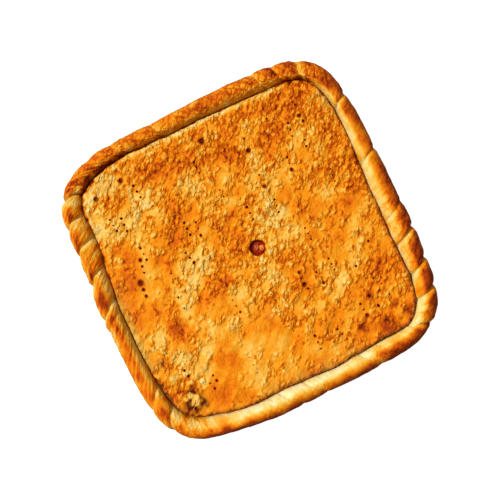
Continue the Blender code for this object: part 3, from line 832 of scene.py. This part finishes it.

# Patches on the lid, given like the rope's. Blisters stayed pale, the highest dough
# browned or scorched, and juice darkened some spots. The pale edges are partly sheltered
# dough and partly painted light, and a few brown patches by the west edge are painted shade.
PALE_PATCHES = (
    (30, -8, 0.12, 14), (52, -2, 0.12, 12), (-12, -34, 0.08, 12), (18, 12, 0.08, 8), (10, 57, 0.12, 8),
    (0, -8, 0.06, 9), (-30, 42, 0.08, 6), (-55, 24, 0.1, 10), (-66, -4, 0.1, 12), (-112, -80, 0.12, 12),
    (-118, -68, 0.08, 8), (-105, 132, 0.2, 13), (-128, 112, 0.22, 10), (-118, 132, 0.14, 10),
    (-112, 86, 0.16, 16), (-92, 84, 0.18, 13), (-75, 98, 0.2, 11), (-82, 120, 0.1, 12),
    (-97, 62, 0.16, 9), (-101, 44, 0.18, 8), (-102, 24, 0.18, 9), (-104, 6, 0.12, 9),
    (-62, 12, 0.22, 13), (-46, 8, 0.18, 11), (-80, -8, 0.2, 12), (-88, -26, 0.14, 9),
    (-22, -12, 0.14, 10), (-22, -32, 0.15, 10), (8, -28, 0.15, 10), (-22, 92, 0.14, 12),
    (16, 78, 0.2, 9), (-10, 58, 0.1, 10), (44, 84, 0.12, 10), (50, 55, 0.1, 16), (108, 86, 0.1, 12),
    (48, 23, 0.18, 9), (99, 24, 0.16, 10), (112, 17, 0.1, 9), (118, -32, 0.1, 12), (-128, -42, 0.2, 12),
    (-112, -62, 0.2, 10), (-86, -72, 0.24, 9), (-98, -88, 0.2, 11), (-47, -54, 0.18, 9),
    (-70, -62, 0.08, 12), (75, -68, 0.14, 12), (96, -56, 0.1, 12), (47, 92, 0.2, 4),
    (-50, 143, 0.1, 18), (-95, 141, 0.14, 12), (60, 118, 0.06, 12), (-101, -101, 0.2, 5),
    (-128, -80, 0.12, 8), (32, 18, 0.1, 12), (-64, 78, 0.08, 10), (-40, 20, 0.08, 10),
    (20, -10, 0.08, 10), (62, -76, 0.1, 10), (140, 108, 0.1, 10), (-55, -80, 0.1, 12),
    (-40, 42, 0.06, 10), (-135, 55, 0.1, 10), (70, 62, 0.06, 18), (-10, 82, 0.08, 12),
    (30, 66, 0.08, 10), (-128, 92, 0.12, 8), (-132, 75, 0.1, 8), (12, -44, 0.06, 12), (40, 36, 0.1, 10),
    (-15, -115, 0.07, 22), (-55, -125, 0.07, 16), (40, -80, 0.06, 20), (30, -130, 0.06, 22),
    (-75, -45, 0.1, 12), (-30, -40, 0.06, 12), (70, 60, 0.02, 10), (100, 40, 0.12, 10),
    (-60, 100, 0.2, 10), (-22, 100, 0.08, 9), (-130, 50, 0.12, 9), (-40, -100, 0.11, 12),
    (60, 120, 0.04, 8), (-121, -112, 0.1, 7), (-47, -95, 0.08, 6), (-47, -112, 0.1, 6),
    (-52, -128, 0.08, 6),
)
BROWN_PATCHES = (
    (-125, 14, 0.1, 18), (-128, 50, 0.08, 10), (-85, 35, 0.06, 14), (100, 112, 0.07, 18),
    (22, 106, 0.36, 8), (32, 98, 0.17, 7), (78, 102, 0.32, 8), (92, 108, 0.1, 10), (116, 130, 0.18, 12),
    (98, 132, 0.12, 12), (132, 126, 0.12, 8), (60, 136, 0.12, 16), (35, 134, 0.1, 12),
    (-45, 124, 0.16, 18), (-15, 118, 0.12, 18), (-60, 130, 0.1, 12), (8, 128, 0.12, 8),
    (67, 80, 0.18, 9), (68, 72, 0.08, 7), (-66, 48, 0.24, 9), (-56, 60, 0.1, 9), (-82, 32, 0.15, 12),
    (-50, 76, 0.12, 12), (-112, 48, 0.12, 10), (-122, 28, 0.2, 9), (-110, 25, 0.1, 8),
    (-3, 22, 0.14, 9), (-12, 8, 0.14, 9), (6, 41, 0.1, 9), (-20, 32, 0.05, 12), (-35, -14, 0.36, 7),
    (-103, -40, 0.42, 7), (-94, -50, 0.18, 8), (-100, -30, 0.08, 8), (-62, -22, 0.1, 12),
    (-118, -10, 0.12, 10), (-92, 3, 0.1, 6), (-126, -70, 0.14, 8), (-132, -98, 0.16, 7),
    (-70, -89, 0.22, 10), (-12, -74, 0.12, 9), (36, -54, 0.12, 9), (57, -64, 0.16, 7),
    (90, -38, 0.03, 11), (104, -78, 0.14, 14), (122, -76, 0.14, 12), (92, -94, 0.1, 12),
    (107, 42, 0.2, 9), (122, 50, 0.08, 9), (116, 3, 0.14, 10), (128, 12, 0.12, 8), (138, 34, 0.22, 9),
    (72, -122, 0.4, 6), (98, -128, 0.38, 6), (101, -138, 0.3, 9), (122, -126, 0.34, 7),
    (114, -115, 0.2, 5), (95, -132, 0.12, 20), (-70, -132, 0.16, 9), (10, -136, 0.07, 16),
    (65, 42, 0.1, 12), (66, 11, 0.1, 9), (-30, 57, 0.12, 8), (66, -10, 0.1, 8), (27, -26, 0.1, 10),
    (0, -48, 0.07, 16), (60, -88, 0.06, 20), (30, -103, 0.05, 14), (-132, -12, 0.08, 16),
    (135, 78, 0.12, 12), (80, 128, 0.08, 16), (-120, 60, 0.06, 12), (-22, 104, 0.08, 16),
    (-108, 108, 0.1, 12), (40, 118, 0.07, 12), (136, 60, 0.1, 10), (-8, -22, 0.05, 8),
    (110, 100, 0.08, 10), (-130, 40, 0.08, 10), (-90, -122, 0.1, 20), (-45, -15, 0.06, 12),
    (-70, 20, 0.05, 10), (44, -42, 0.06, 12), (86, 60, -0.04, 12), (-25, 132, 0.05, 20),
    (8, 116, 0.05, 16), (24, 105, 0.16, 8), (-103, -38, 0.14, 7), (-70, -120, 0.06, 12),
    (36, 26, 0.36, 4), (101, -137, 0.3, 7), (114, -116, 0.12, 4), (78, 102, 0.08, 7), (37, 28, 0.14, 4),
    (-131, -98, 0.24, 3.5), (-133, -108, 0.26, 4), (-116, -104, 0.24, 5), (-142, 30, 0.16, 4),
    (-141, 45, 0.14, 4), (-140, 58, 0.12, 4), (-15, -76, 0.12, 8), (-25, -98, 0.07, 8),
    (5, -106, 0.07, 9), (12, -137, 0.12, 10), (-45, -134, 0.08, 6),
)
SCORCHED = (
    (-127, -116, 2.3, 4.4), (-115, -104, 1.0, 4.5), (-112.5, -120, 1.5, 4.5), (-119, -102, 0.7, 4),
    (-122, -123, 1.2, 4), (-131, -97.5, 0.4, 3), (-124, -104, 0.6, 4), (-136, -118, 0.6, 4),
    (-124, -112, 0.9, 3.5), (-112, -111, 0.9, 3.5), (72, -122, 1.35, 3.3), (97.5, -128, 1.2, 3),
    (121.5, -127, 1.2, 3), (114, -116, 1.3, 2.5), (101, -137, 0.6, 4), (-134, -63, 0.5, 3),
    (-103, -39, 0.22, 6), (22, 106, 0.14, 7), (-67, 46, 0.12, 6), (57, -63, 0.3, 3),
    (-115, 22, 0.7, 3.5), (-104.5, 44, 0.5, 2.5), (-118, 122, 1.0, 2.8), (8, 127, 1.2, 3.0),
    (-86, 128, 1.0, 2.6), (-133, -108, 0.3, 3.5), (-131, -66, 0.3, 2.5), (-112, -121, 0.5, 3),
)
# Damp spots: those inside the lid are juice; those along its west, south and east edges are painted
# shade
DAMP_SPOTS = (
    (37, 28, 0.6, 4), (-49, -66, 0.3, 5), (-9, -68, 0.25, 5), (-133, -62, 0.3, 5), (-104, 130, 0.35, 6),
    (-118, 122, 0.4, 3), (-146, 10, 0.6, 7), (-147, -5, 0.6, 7), (-147, -20, 0.6, 7),
    (-147, -35, 0.5, 7), (-146, 24, 0.4, 6), (-146, -50, 0.5, 6), (-146, -62, 0.45, 6),
    (146, 106, 0.55, 6), (144, 118, 0.5, 6), (149, 92, 0.4, 4), (-104, -70, 0.3, 6), (-96, -88, 0.3, 4),
    (143, -112, 0.35, 5), (142, -96, 0.3, 4), (55, 26, 0.2, 5), (15, -36, 0.2, 6), (-135, 30, 0.1, 8),
    (-136, 92, 0.5, 5), (-102, 128, 0.3, 3), (-102, 121, 0.45, 2.5), (-106, -68, 0.35, 4),
    (-98, -87, 0.3, 4), (-10, -143, 0.35, 10), (20, -145, 0.35, 10), (50, -144, 0.3, 10),
    (-40, -142, 0.3, 10),
)
EDGE_PALE = (
    (-20, 146, 0.3, 40), (-80, 148, 0.32, 30), (45, 144, 0.26, 30), (90, 142, 0.22, 16),
    (-118, 138, 0.25, 16), (-134, 118, 0.25, 14), (-138, 92, 0.2, 16), (-143, 55, 0.15, 16),
    (-130, -132, 0.3, 10), (-146, -30, 0.24, 40), (-90, -143, 0.1, 24),
)

# Larger pale blisters: x, y and radius in mm, and how high as a share
PALE_BLISTERS = (
    (-119, -115.5, 4.8, 1.5), (-121, -107, 3.6, 1.3), (-116, -111, 3.4, 1.3), (-127, -108.5, 2.4, 0.9),
    (-131, -103, 2.2, 0.8), (-114, -95, 2.4, 0.8), (-104, -106, 1.8, 0.7), (-108, -84, 2.2, 0.7),
    (-117, -75, 2.4, 0.7), (-134, -76, 2.2, 0.7), (-112, -58, 2.6, 0.7), (-100, -78, 2.4, 0.7),
    (-107, -70, 3.2, 0.8), (-102.5, -69.5, 2.4, 0.7), (-98, -88, 2.3, 0.9), (-93.5, -88, 1.9, 0.8),
    (-103, -100, 2.7, 1.0), (-91, -67, 3.0, 0.8), (-130, -82, 2.6, 0.8), (-124.5, -85, 2.2, 0.8),
    (-121, -66, 2.4, 0.7), (-109, -93, 2.0, 0.8), (-127, -53, 3.0, 0.8), (-122, -47, 2.5, 0.8),
    (-86, -78, 3.0, 0.6), (-76, -103, 2.6, 0.6), (36, 33, 2.4, 0.9), (41, 37, 3.0, 1.0),
    (45, 33, 2.1, 0.8), (48.5, 37, 2.4, 0.9), (54, 24, 2.6, 0.9), (49.5, 20.5, 3.0, 0.9),
    (45.5, 17, 2.0, 0.8), (20, -40.5, 2.8, 1.1), (-22, -9, 2.6, 0.6), (-48.5, -63, 2.6, 0.9),
    (-46, -68, 2.0, 0.7), (-3, -66, 1.8, 0.9), (1, -68, 2.0, 0.9), (3.5, -64, 1.6, 0.8),
    (-7, -70, 1.7, 0.8), (57, -66, 2.0, 0.8), (55, -72, 2.2, 0.9), (60, -70, 1.6, 0.7),
    (4, -86, 2.0, 0.9), (-14, -34, 2.4, 0.6), (26, 31, 1.9, 0.8), (22, 15, 2.4, 0.7),
    (32, 32, 1.7, 0.8), (-60, 14, 3.4, 0.6), (-50, 20, 2.6, 0.7), (-42, 28, 2.4, 0.8),
    (47, 91, 3.2, 0.9), (44, 86, 2.4, 0.8), (-101, 128, 3.4, 0.7), (-96, 133, 2.4, 0.6),
    (98, 100, 2.8, 0.9), (76, 104, 2.4, 0.9), (79, 99, 1.8, 0.8), (104, 88, 2.4, 0.9),
    (-47, 138, 2.2, 0.8), (27, 128, 2.0, 0.8), (-36, 128, 2.2, 0.8), (-98, 20, 2.6, 0.6),
    (90, 78, 2.2, 0.8), (-46, -98, 2.0, 0.7), (-25, -112, 2.2, 0.6), (-22, -128, 2.4, 0.8),
)

# Thin ridges where the dough creased, in mm: from x and y to x and y
RIDGES = (
    (-38, 88, -33, 96), (-33, 96, -28, 104), (-24, 80, -18, 86), (-18, 86, -13, 92), (20, -12, 24, -5),
    (24, -5, 27, 2), (-10, 46, -2, 50), (-6, 84, 6, 92),
)


def streaky(x, y, stretch, z, size):
    """Unevenness that is long along the lid's streaks, which run to the north-east."""
    along, across = (x + y) / math.sqrt(2), (y - x) / math.sqrt(2)
    return wander(along / stretch, across, z, size)


def astray(x, y, *strays):
    """Places moved unevenly. Each stray is how far and how wide, in mm, and two patterns."""
    moved_x, moved_y = x, y
    for far, size, z_east, z_north in strays:
        moved_x = moved_x + far * MM * wander(x, y, z_east, size * MM)
        moved_y = moved_y + far * MM * wander(x, y, z_north, size * MM)
    return moved_x, moved_y


def pale_blisters(x, y):
    """The larger blisters: their rise and a mask that is 1 on their tops."""
    rise, mask = np.zeros(x.shape), np.zeros(x.shape)
    warp_x, warp_y = astray(x, y, (1.2, 2.6, 5.7, 5.9))
    for blister_x, blister_y, radius, height in PALE_BLISTERS:
        far = np.hypot(warp_x - blister_x * MM, warp_y - blister_y * MM) / (radius * MM)
        dome = np.sqrt(np.clip(1 - far ** 2, 0, 1))
        rise = np.maximum(rise, height * dome)
        mask = np.maximum(mask, np.clip(dome * 1.6, 0, 1) * np.clip(2 * height - 1, 0.25, 1))
    return rise, mask


def ridges(x, y):
    """Height of the thin creased ridges, from 0 to 1."""
    height = np.zeros(x.shape)
    for ends in RIDGES:
        x0, y0, x1, y1 = np.array(ends) * MM
        run_x, run_y = x1 - x0, y1 - y0
        gone = ((x - x0) * run_x + (y - y0) * run_y) / (run_x ** 2 + run_y ** 2)
        gone = np.clip(gone, 0, 1)
        far = np.hypot(x - x0 - run_x * gone, y - y0 - run_y * gone)
        height = np.maximum(height, fade(far, RIDGE_WIDTH))
    return height


def lid_blisters(x, y):
    """Blisters on the lid's top from 0 to about 1, how rough it is, and their clumps."""
    north = np.clip(0.74 + 0.20 * (y + 0.5 * x) / (150 * MM), 0.35, 1)
    rough = north - 0.72 * pushed(x, y, SMOOTH_ZONES) + 0.34 * wander(x, y, 3.1, 17 * MM)
    clump = streaky(x, y, 1.5, 3.6, 8 * MM) + 0.5 * wander(x, y, 3.9, 3.5 * MM)
    clump = np.clip(0.5 + 2.6 * (clump + 1.1 * (rough - 0.62)), 0, 1)
    warp_x, warp_y = astray(x, y, (1.3, 3.4, 4.1, 4.7))
    broad = bubbles(warp_x, warp_y, BLISTER_SIZE)
    small = bubbles(warp_x + 0.31, warp_y, SMALL_BLISTER_SIZE)
    return clump * np.maximum(broad, 0.62 * small), np.clip(rough, 0.1, 1), clump


def lid_detail(x, y):
    """Height of the lid's top over its plain sheet."""
    blisters, rough, _ = lid_blisters(x, y)
    detail = BLISTER_RISE * blisters + RIDGE_RISE * ridges(x, y)
    detail += PALE_BLISTER_RISE * pale_blisters(x, y)[0]
    for height, size, stretch, z in WAVES:
        detail += height * MM * streaky(x, y, stretch, z, size * MM)
    height, size, stretch, z = CRINKLES
    return detail + height * MM * (0.4 + 0.6 * rough) * streaky(x, y, stretch, z, size * MM)


def prick_pits(x, y):
    """Depth of the fork's holes, and a mask that is 1 inside them."""
    deep, mask = np.zeros(x.shape), np.zeros(x.shape)
    for px, py, radius in pricks:
        far = np.hypot(x - px, (y - py) * 0.92) / radius
        close = far < 2.2
        soft = eased(np.clip((1.15 - far[close]) / 0.75, 0, 1))
        full = min(1, radius / (1.0 * MM)) * PRICK_DEPTH
        deep[close] = np.maximum(deep[close], full * soft)
        mask[close] = np.maximum(mask[close], np.clip((1.4 - far[close]) / 0.6, 0, 1))
    return deep, mask


stations = np.arange(LID_STATIONS) * ROUND_TRIP / LID_STATIONS


def lid_ring(inward):
    """Places round the lid, a distance in from its torn edge."""
    x, y, nx, ny, _, crease = rope_frame(stations, CREASE_ANGLE)
    torn = 1.0 * MM * wander(x, y, 7.3, 8 * MM) + 0.8 * MM * wander(x, y, 7.7, 3.2 * MM)
    torn = np.clip(torn, TORN_IN, TORN_OUT)
    side = (0.6 * MM - 0.4 * torn) * np.maximum(-nx, 0) + torn - crease - LID_CLEAR - inward
    return np.stack([x + nx * side, y + ny * side], -1) + shift


def under_lid(places):
    """Height of the lid's underside, just over the case."""
    return shelf_height(*(places - shift).T) + REST_GAP


lid_points, lid_faces, rings = [], [], []
for inward, share_up in EDGE_PROFILE:
    place = lid_ring(inward * MM)
    detail = lid_detail(*place.T) * max(0, share_up * 2 - 1)
    height = under_lid(place) + share_up * LID_THICKNESS + detail
    rings.append(added(lid_points, raised(place, height)))
for lower, upper in zip(rings, rings[1:]):
    lid_faces += band(lower, upper)

# The top, with rings of points round the vent and the fork's holes
around = np.linspace(0, 2 * math.pi, VENT_SIDES, endpoint=False)
ragged = 1 + 0.04 * np.sin(3 * around + 0.6) + 0.04 * np.sin(5 * around)
ragged += 0.02 * np.sin(11 * around + 2)
top_edge = lid_ring(TOP_EDGE_IN)
lip = circle(vent_x, vent_y, (VENT_RADIUS + VENT_LIP) * ragged, around)
loose = [circle(vent_x, vent_y, (VENT_RADIUS + out) * ragged, around) for out in VENT_COLLARS]
clear_of = [(vent_x, vent_y, VENT_RADIUS + VENT_CLEAR)]
for px, py, radius in pricks:
    for size, sides in PIT_RINGS:
        fan = np.linspace(0, 2 * math.pi, sides, endpoint=False) + size
        loose.append(circle(px, py, size * radius, fan))
    loose.append(np.array([[px, py]]))
    clear_of.append((px, py, radius * PIT_RINGS[0][0]))
loose.append(spread_inside(top_edge, LID_STEP, clear_of))
loose = np.concatenate(loose)
top = np.concatenate([top_edge, lip, loose])
from_vent = np.hypot(top[:, 0] - vent_x, top[:, 1] - vent_y)
droop = VENT_DROOP * np.clip(1 - (from_vent - VENT_RADIUS) / VENT_DROOP_REACH, 0, 1) ** 2
top_height = under_lid(top) + LID_THICKNESS + lid_detail(*top.T) - prick_pits(*top.T)[0] - droop
spots = added(lid_points, raised(top, top_height))
lid_faces += band(rings[-1], spots[:LID_STATIONS])
lid_faces += spots[fill_outline(top_edge, [lip], loose)].tolist()

# The vent's wall
at_lip = slice(LID_STATIONS, LID_STATIONS + VENT_SIDES)
throat = circle(vent_x, vent_y, VENT_RADIUS * ragged, around)
lower_ring = spots[at_lip]
for share_down in (0.25, 0.5, 0.75, 1.0):
    level = top_height[at_lip] * (1 - share_down) + under_lid(throat) * share_down
    upper_ring, lower_ring = lower_ring, added(lid_points, raised(throat, level))
    lid_faces += band(upper_ring, lower_ring)

# The underside
under_edge = lid_ring(UNDER_EDGE_IN)[::4]
under_loose = spread_inside(under_edge, FLAT_STEP, [(vent_x, vent_y, VENT_RADIUS)])
under_ring = added(lid_points, raised(under_edge, under_lid(under_edge)))
under_spots = added(lid_points, raised(under_loose, under_lid(under_loose)))
spots = np.concatenate([under_ring, lower_ring, under_spots])
lid_faces += quarter_band(rings[0], under_ring)
lid_faces += spots[fill_outline(under_edge, [throat], under_loose)].tolist()
lid_points = np.concatenate(lid_points)

# Browning of the lid: by patches and streaks, and paler where the dough blistered.
# The blisters' north-west sides, towards the window, are paler as painted light, and
# their south-east sides browner as painted shade.
BLISTER_SIDE = 0.55 * MM
PLAIN_TONE = 0.485
SOFTLY_BROWN = 0.60
BLISTER_TONE = 0.15
HOLE_TONE = 0.88
x, y = lid_points[:, :2].T
blisters, rough, clump = lid_blisters(x, y)
_, pit_mask = prick_pits(x, y)
# Pale tops of the large blisters, moved towards the window: partly pale dough, partly painted light
_, topped = pale_blisters(x + BLISTER_SIDE, y - BLISTER_SIDE)
north = np.clip(y / (140 * MM), -1, 1)
rim = KDTree(LID_STATIONS)
for number, place in enumerate(lid_ring(0)):
    rim.insert((*place, 0), number)
rim.balance()
inset = np.array([rim.find((px, py, 0))[2] for px, py in lid_points[:, :2].tolist()])

# Patches have no round outline, and deep browns level off
patch_x, patch_y = astray(x, y, (5, 9, 8.5, 8.6), (3, 3.5, 8.3, 8.4))
browned = pushed(patch_x, patch_y, BROWN_PATCHES) * (1 + 0.5 * wander(x, y, 8.1, 4.5 * MM))
bake = PLAIN_TONE - 1.15 * pushed(patch_x, patch_y, PALE_PATCHES) + 0.95 * browned
levelled = SOFTLY_BROWN + 0.20 * np.tanh((bake - SOFTLY_BROWN) / 0.30)
bake = np.where(bake > SOFTLY_BROWN, levelled, bake)
streaks = streaky(x, y, 2.2, 6.1, 13 * MM) + 0.6 * streaky(x, y, 2.2, 6.7, 6 * MM)
bake += 0.12 * streaks + clump * (0.06 - 0.18 * blisters)
# Painted light on each blister's north-west side, painted shade on its south-east side
north_west, _, _ = lid_blisters(x - BLISTER_SIDE, y + BLISTER_SIDE)
south_east, _, _ = lid_blisters(x + BLISTER_SIDE, y - BLISTER_SIDE)
bake += 0.17 * (north_west - south_east)
bake += 0.06 * wander(x, y, 8.2, 30 * MM) + 0.12 * (0.3 + clump) * wander(x, y, 8.8, 3.2 * MM)
bake = np.clip(bake, 0.24, 0.84)
bake += (BLISTER_TONE - bake) * np.maximum(0.8 * topped, 0.5 * ridges(x, y))

# The edge: paler in the north, partly sheltered dough and partly painted light; browner
# and olive in the south as painted shade; and dark along the crease as painted shade
edge_pale = pushed(x, y, EDGE_PALE) + 0.10 * np.maximum(north, 0) ** 2
bake = np.maximum(bake - edge_pale * fade(inset, 5.0 * MM, 4), BLISTER_TONE)
uneven = np.clip(1 + 1.8 * wander(x, y, 2.9, 5 * MM), 0.2, 2.2)
bake += 1.2 * uneven * pushed(x, y, CREASE_DARK) * fade(inset, 2.8 * MM, 1)
bake += 0.26 * uneven * np.maximum(-north, 0) * fade(inset, 3.2 * MM)
vent_mask = fade(np.hypot(x - vent_x, y - vent_y), VENT_RADIUS + 0.3 * MM, 12)
bake += (HOLE_TONE - bake) * np.maximum(pit_mask, vent_mask)
damp = pushed(x, y, DAMP_SPOTS) + 0.22 * np.clip(0.3 - north, 0, 1) * fade(inset, 4 * MM)
scorch = pushed(x, y, SCORCHED) * (0.75 + 0.9 * wander(x, y, 9.4, 4 * MM)) * (1 - 0.9 * topped)
scorch = np.maximum(scorch, 0.7 * pit_mask)
lid_masks = {
    "bake": np.clip(bake, 0, 1),
    "blister": np.clip(clump * (0.3 + 0.9 * rough) + 0.06, 0, 1),
    "damp": np.clip(damp, 0, 1),
    "scorch": np.clip(scorch, 0, 1),
}
lid = dough_piece("pricked_lid", lid_points, lid_faces, lid_masks, dough_finish("lid_crust"))
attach(lid, "root")
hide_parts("lid")


# The filling in the vent: a soft red-brown stew of cooked onion and morsels,
# heaped under the hole, where the oven dried and darkened it.
FILLING_RADIUS = 11.8 * MM
BED_SIDES = 48
BED_RINGS = 5
BED_RING_STEP = 0.1 * FILLING_RADIUS
BED_COLOUR = (146, 26, 0)
BED_SHINE, MORSEL_SHINE = 0.10, 0.12
HEAP_REACH = 7.2 * MM
HEAP_RISE = 3.2 * MM
FLECKS_PER_METRE = 520
FLECK_RISE = 0.6 * MM

# Morsels: x and y from the vent's middle, radius and rise in mm, and colour
MORSEL_PLACES = (
    ("morsel_east", 4.2, -1.8, 3.0, 3.2, (238, 128, 50)),
    ("morsel_middle", -0.4, 0.6, 3.0, 2.2, (176, 84, 26)),
    ("onion_south", 1.2, -4.8, 2.2, 1.0, (156, 48, 8)),
)


def stew_finish(name, colour, shine):
    """Cooked filling: mottled colour, moist and uneven."""
    material, shader = plain_finish(name, shine)
    tree = material.node_tree
    place = wired(tree, "TexCoord", {}).outputs["Object"]
    flecks = wired(tree, "TexNoise", {"Vector": place, "Scale": FLECKS_PER_METRE, "Detail": 4})
    fleck = flecks.outputs["Fac"]
    dark = [part * 0.62 for part in colour]
    light = [min(255, part * 1.12) for part in colour]
    skin = wired(tree, "Bump", {"Distance": FLECK_RISE, "Height": fleck})
    supply(tree, shader, {
        "Base Color": ramp_of(tree, fleck, ((0.3, dark), (0.7, light))),
        "Roughness": 0.5,
        "Normal": skin.outputs["Normal"],
    })
    return material


def stew_piece(name, work, finish):
    """A smooth piece of filling from its working mesh."""
    mesh = bpy.data.meshes.new(name)
    work.to_mesh(mesh)
    work.free()
    return placed(name, mesh, finish)


bed = bmesh.new()
bmesh.ops.create_cone(
    bed, cap_ends=True, segments=BED_SIDES, radius1=FILLING_RADIUS, radius2=FILLING_RADIUS, depth=1
)
bed_floor = floor_height + REST_GAP
bed_top = shelf_height(*WELL_AT) + 0.5 * MM
for vertex in bed.verts:
    vertex.co.z = bed_top if vertex.co.z > 0 else bed_floor
    vertex.co.x += vent_x
    vertex.co.y += vent_y
top_face = max(bed.faces, key=lambda face: face.calc_center_median().z)
for _ in range(BED_RINGS):
    bmesh.ops.inset_region(bed, faces=[top_face], thickness=BED_RING_STEP, use_even_offset=False)
for vertex in bed.verts:
    away = math.hypot(vertex.co.x - vent_x, vertex.co.y - vent_y)
    if vertex.co.z > bed_floor + 1 * MM and away < HEAP_REACH:
        lump = 1 + 0.8 * noise.noise(vertex.co / (3.2 * MM))
        vertex.co.z += HEAP_RISE * lump * (1 - (away / HEAP_REACH) ** 3)
stew_bed = stew_piece("stew_bed", bed, stew_finish("stew", BED_COLOUR, BED_SHINE))
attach(stew_bed, "root")
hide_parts("filling")

for name, dx, dy, radius, rise, colour in MORSEL_PLACES:
    lump = bmesh.new()
    bmesh.ops.create_icosphere(lump, subdivisions=4, radius=radius * MM)
    for vertex in lump.verts:
        vertex.co *= 1 + 0.28 * noise.noise(vertex.co / (2.2 * MM) + Vector((dx, dy, 0)))
        vertex.co.z *= 0.75
        vertex.co += Vector((vent_x + dx * MM, vent_y + dy * MM, bed_top + rise * MM * 0.3))
    morsel = stew_piece(name, lump, stew_finish(name, colour, MORSEL_SHINE))
    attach(morsel, "root")
    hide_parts("filling")


# The table: a smooth white table that the pie lies on, lit from within, so that
# the pie's shadow stays faint.
TABLE_HALF = 3
TABLE_DROP = 0.2 * MM
TABLE_GLOW = 0.95
corners = [
    (east * TABLE_HALF, north * TABLE_HALF, -TABLE_DROP)
    for east, north in ((-1, -1), (1, -1), (1, 1), (-1, 1))
]
table_mesh = bpy.data.meshes.new("table")
table_mesh.from_pydata(corners, [], [(0, 1, 2, 3)])
table_finish, surface = plain_finish("white_table", 0.0)
tree = table_finish.node_tree
seen = wired(tree, "LightPath", {}).outputs["Is Camera Ray"]
supply(tree, surface, {
    "Base Color": (0.3, 0.3, 0.3, 1),
    "Roughness": 0.9,
    "Emission Color": (1, 1, 1, 1),
    "Emission Strength": wired(tree, "Math", {0: seen, 1: TABLE_GLOW}, operation="MULTIPLY").outputs[0],
})
table = placed("table", table_mesh, table_finish)

# The light: soft daylight through a wide window, from the pie's north-west, and
# an even pale room round it.
KEY_FROM = Vector((-0.44, 0.50, 0.745))
KEY_STRENGTH = 4.4
KEY_WIDTH = math.radians(14)
ROOM_STRENGTH = 0.46
key = bpy.data.lights.new("window", "SUN")
key.energy = KEY_STRENGTH
key.angle = KEY_WIDTH
key_light = bpy.data.objects.new("window", key)
key_light.rotation_mode = "QUATERNION"
key_light.rotation_quaternion = KEY_FROM.to_track_quat("Z", "Y")
bpy.context.collection.objects.link(key_light)
room = bpy.data.worlds.new("room")
room.use_nodes = True
backdrop = room.node_tree.nodes["Background"]
supply(room.node_tree, backdrop, {"Color": (1, 1, 1, 1), "Strength": ROOM_STRENGTH})
bpy.context.scene.world = room
bpy.context.scene.view_settings.view_transform = "Standard"

# The camera: level over the table, looking straight down. The pie lies turned
# below it.
VIEW_WIDTH = 525.8 * MM
VIEW_MIDDLE = (2.6 * MM, 2.1 * MM)
VIEW_HEIGHT = 18 * MM
VIEW_TURN = math.radians(-26.6)
LENS = 100
SENSOR = 36
view = bpy.data.cameras.new("camera")
view.lens = LENS
view.sensor_width = SENSOR
camera = bpy.data.objects.new("camera", view)
camera.location = (*VIEW_MIDDLE, VIEW_HEIGHT + VIEW_WIDTH * LENS / SENSOR)
camera.rotation_euler = (0, 0, VIEW_TURN)
bpy.context.collection.objects.link(camera)
bpy.context.scene.camera = camera
